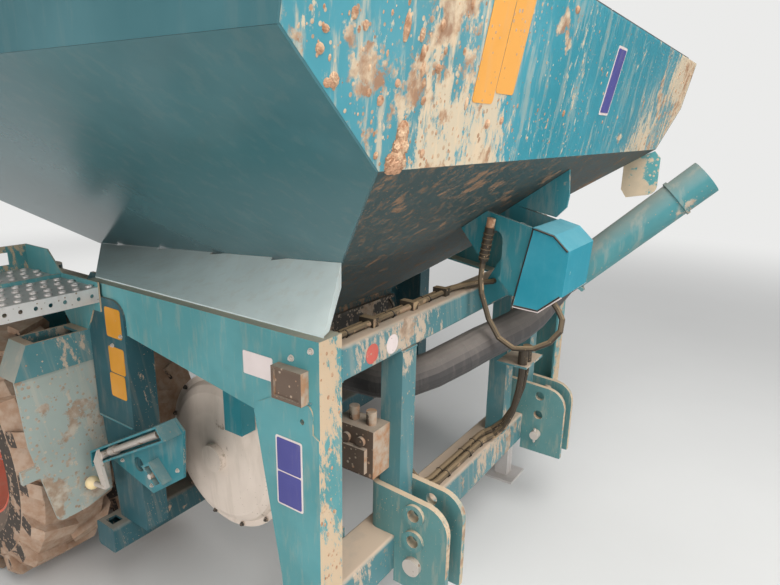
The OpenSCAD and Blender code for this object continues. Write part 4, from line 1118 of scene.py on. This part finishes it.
# %% [markdown]
# The metering drive's cable comes out of a ribbed connector on the tower's left plate. Its ribs are rings
# along it, and a cap with a rounded rim closes its upper end.

# %% Connector of the drive cable
PLUG_FOOT = (30, 128, 1212)
PLUG_WAY = (-16, 0, 104)                    # from the connector's foot to its head


def on_plug(share):
    """A place on the connector's axis, 0 at its foot and 1 at its head."""
    return at(*[foot + share * way for foot, way in zip(PLUG_FOOT, PLUG_WAY)])


ribs = [ring(on_plug(share), PLUG_WAY, 15.4, 1.8) for share in (0.08, 0.2, 0.34, 0.5, 0.66, 0.8)]
settle(joined("plug_ribs", ribs), "rubber")
bpy.ops.object.select_all(action="DESELECT")
bpy.ops.mesh.primitive_cylinder_add(vertices=24, radius=0.0125, depth=0.03)
cap = bpy.context.object
bpy.ops.object.mode_set(mode="EDIT")
pick_faces(cap, lambda c, n: abs(n.z) > 0.9)
bpy.ops.mesh.bevel(offset=0.004, segments=3)
bpy.ops.object.mode_set(mode="OBJECT")
cap.data.transform(Matrix.Translation(at(12.2, 128, 1330)) @ frame_of(PLUG_WAY))
cap.name = cap.data.name = "plug_cap"
settle(cap, "clod")
print("connector ribs:", len(ribs))

# %% [markdown]
# The crank ends in a ball of yellowed plastic. A ball has one curved face, so a smooth-shaded sphere of
# enough segments is the whole of it, and it sits on the bent spindle's end.

# %% Knob of the crank
bpy.ops.object.select_all(action="DESELECT")
bpy.ops.mesh.primitive_uv_sphere_add(segments=32, ring_count=16, radius=0.0214)
knob = bpy.context.object
bpy.ops.object.shade_smooth()
knob.data.transform(Matrix.Translation(at(956, SIDE_Y + 73.3, 499)))
knob.name = knob.data.name = "crank_knob"
settle(knob, "ivory")
print("knob:", len(knob.data.polygons), "faces")

# %% [markdown]
# Each lid is lifted by two bars with bent ends. They are bars along six points, and they ride on the
# lids, so they swing with them.

# %% Lid handles
GRIP_IN = 45 * MM                           # how far ahead of the lid's rear edge
GRIPS_Y = (320, 920)
GRIP_SHAPE = ((-60, 0), (-60, 14), (-54, 20), (54, 20), (60, 14), (60, 0))
GRIP_DROP = 18                              # keeps the bars under the CAD box's top

lid_low, lid_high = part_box("lid_left")
grip_x = lid_low.x + GRIP_IN
top = lid_high.z - 0.006
for side, body in ((1, "lid_left"), (-1, "lid_right")):
    grips = []
    for y in GRIPS_Y:
        points = [Vector((grip_x, (side * y + dy) * MM, top + (dz - GRIP_DROP) * MM)) for dy, dz in GRIP_SHAPE]
        grips.append(bar("grip", points, 3.5))
    settle(joined("lid_handles_" + body.split("_")[1], grips), "steel", body)
print("lid handles:", 2 * len(GRIPS_Y))
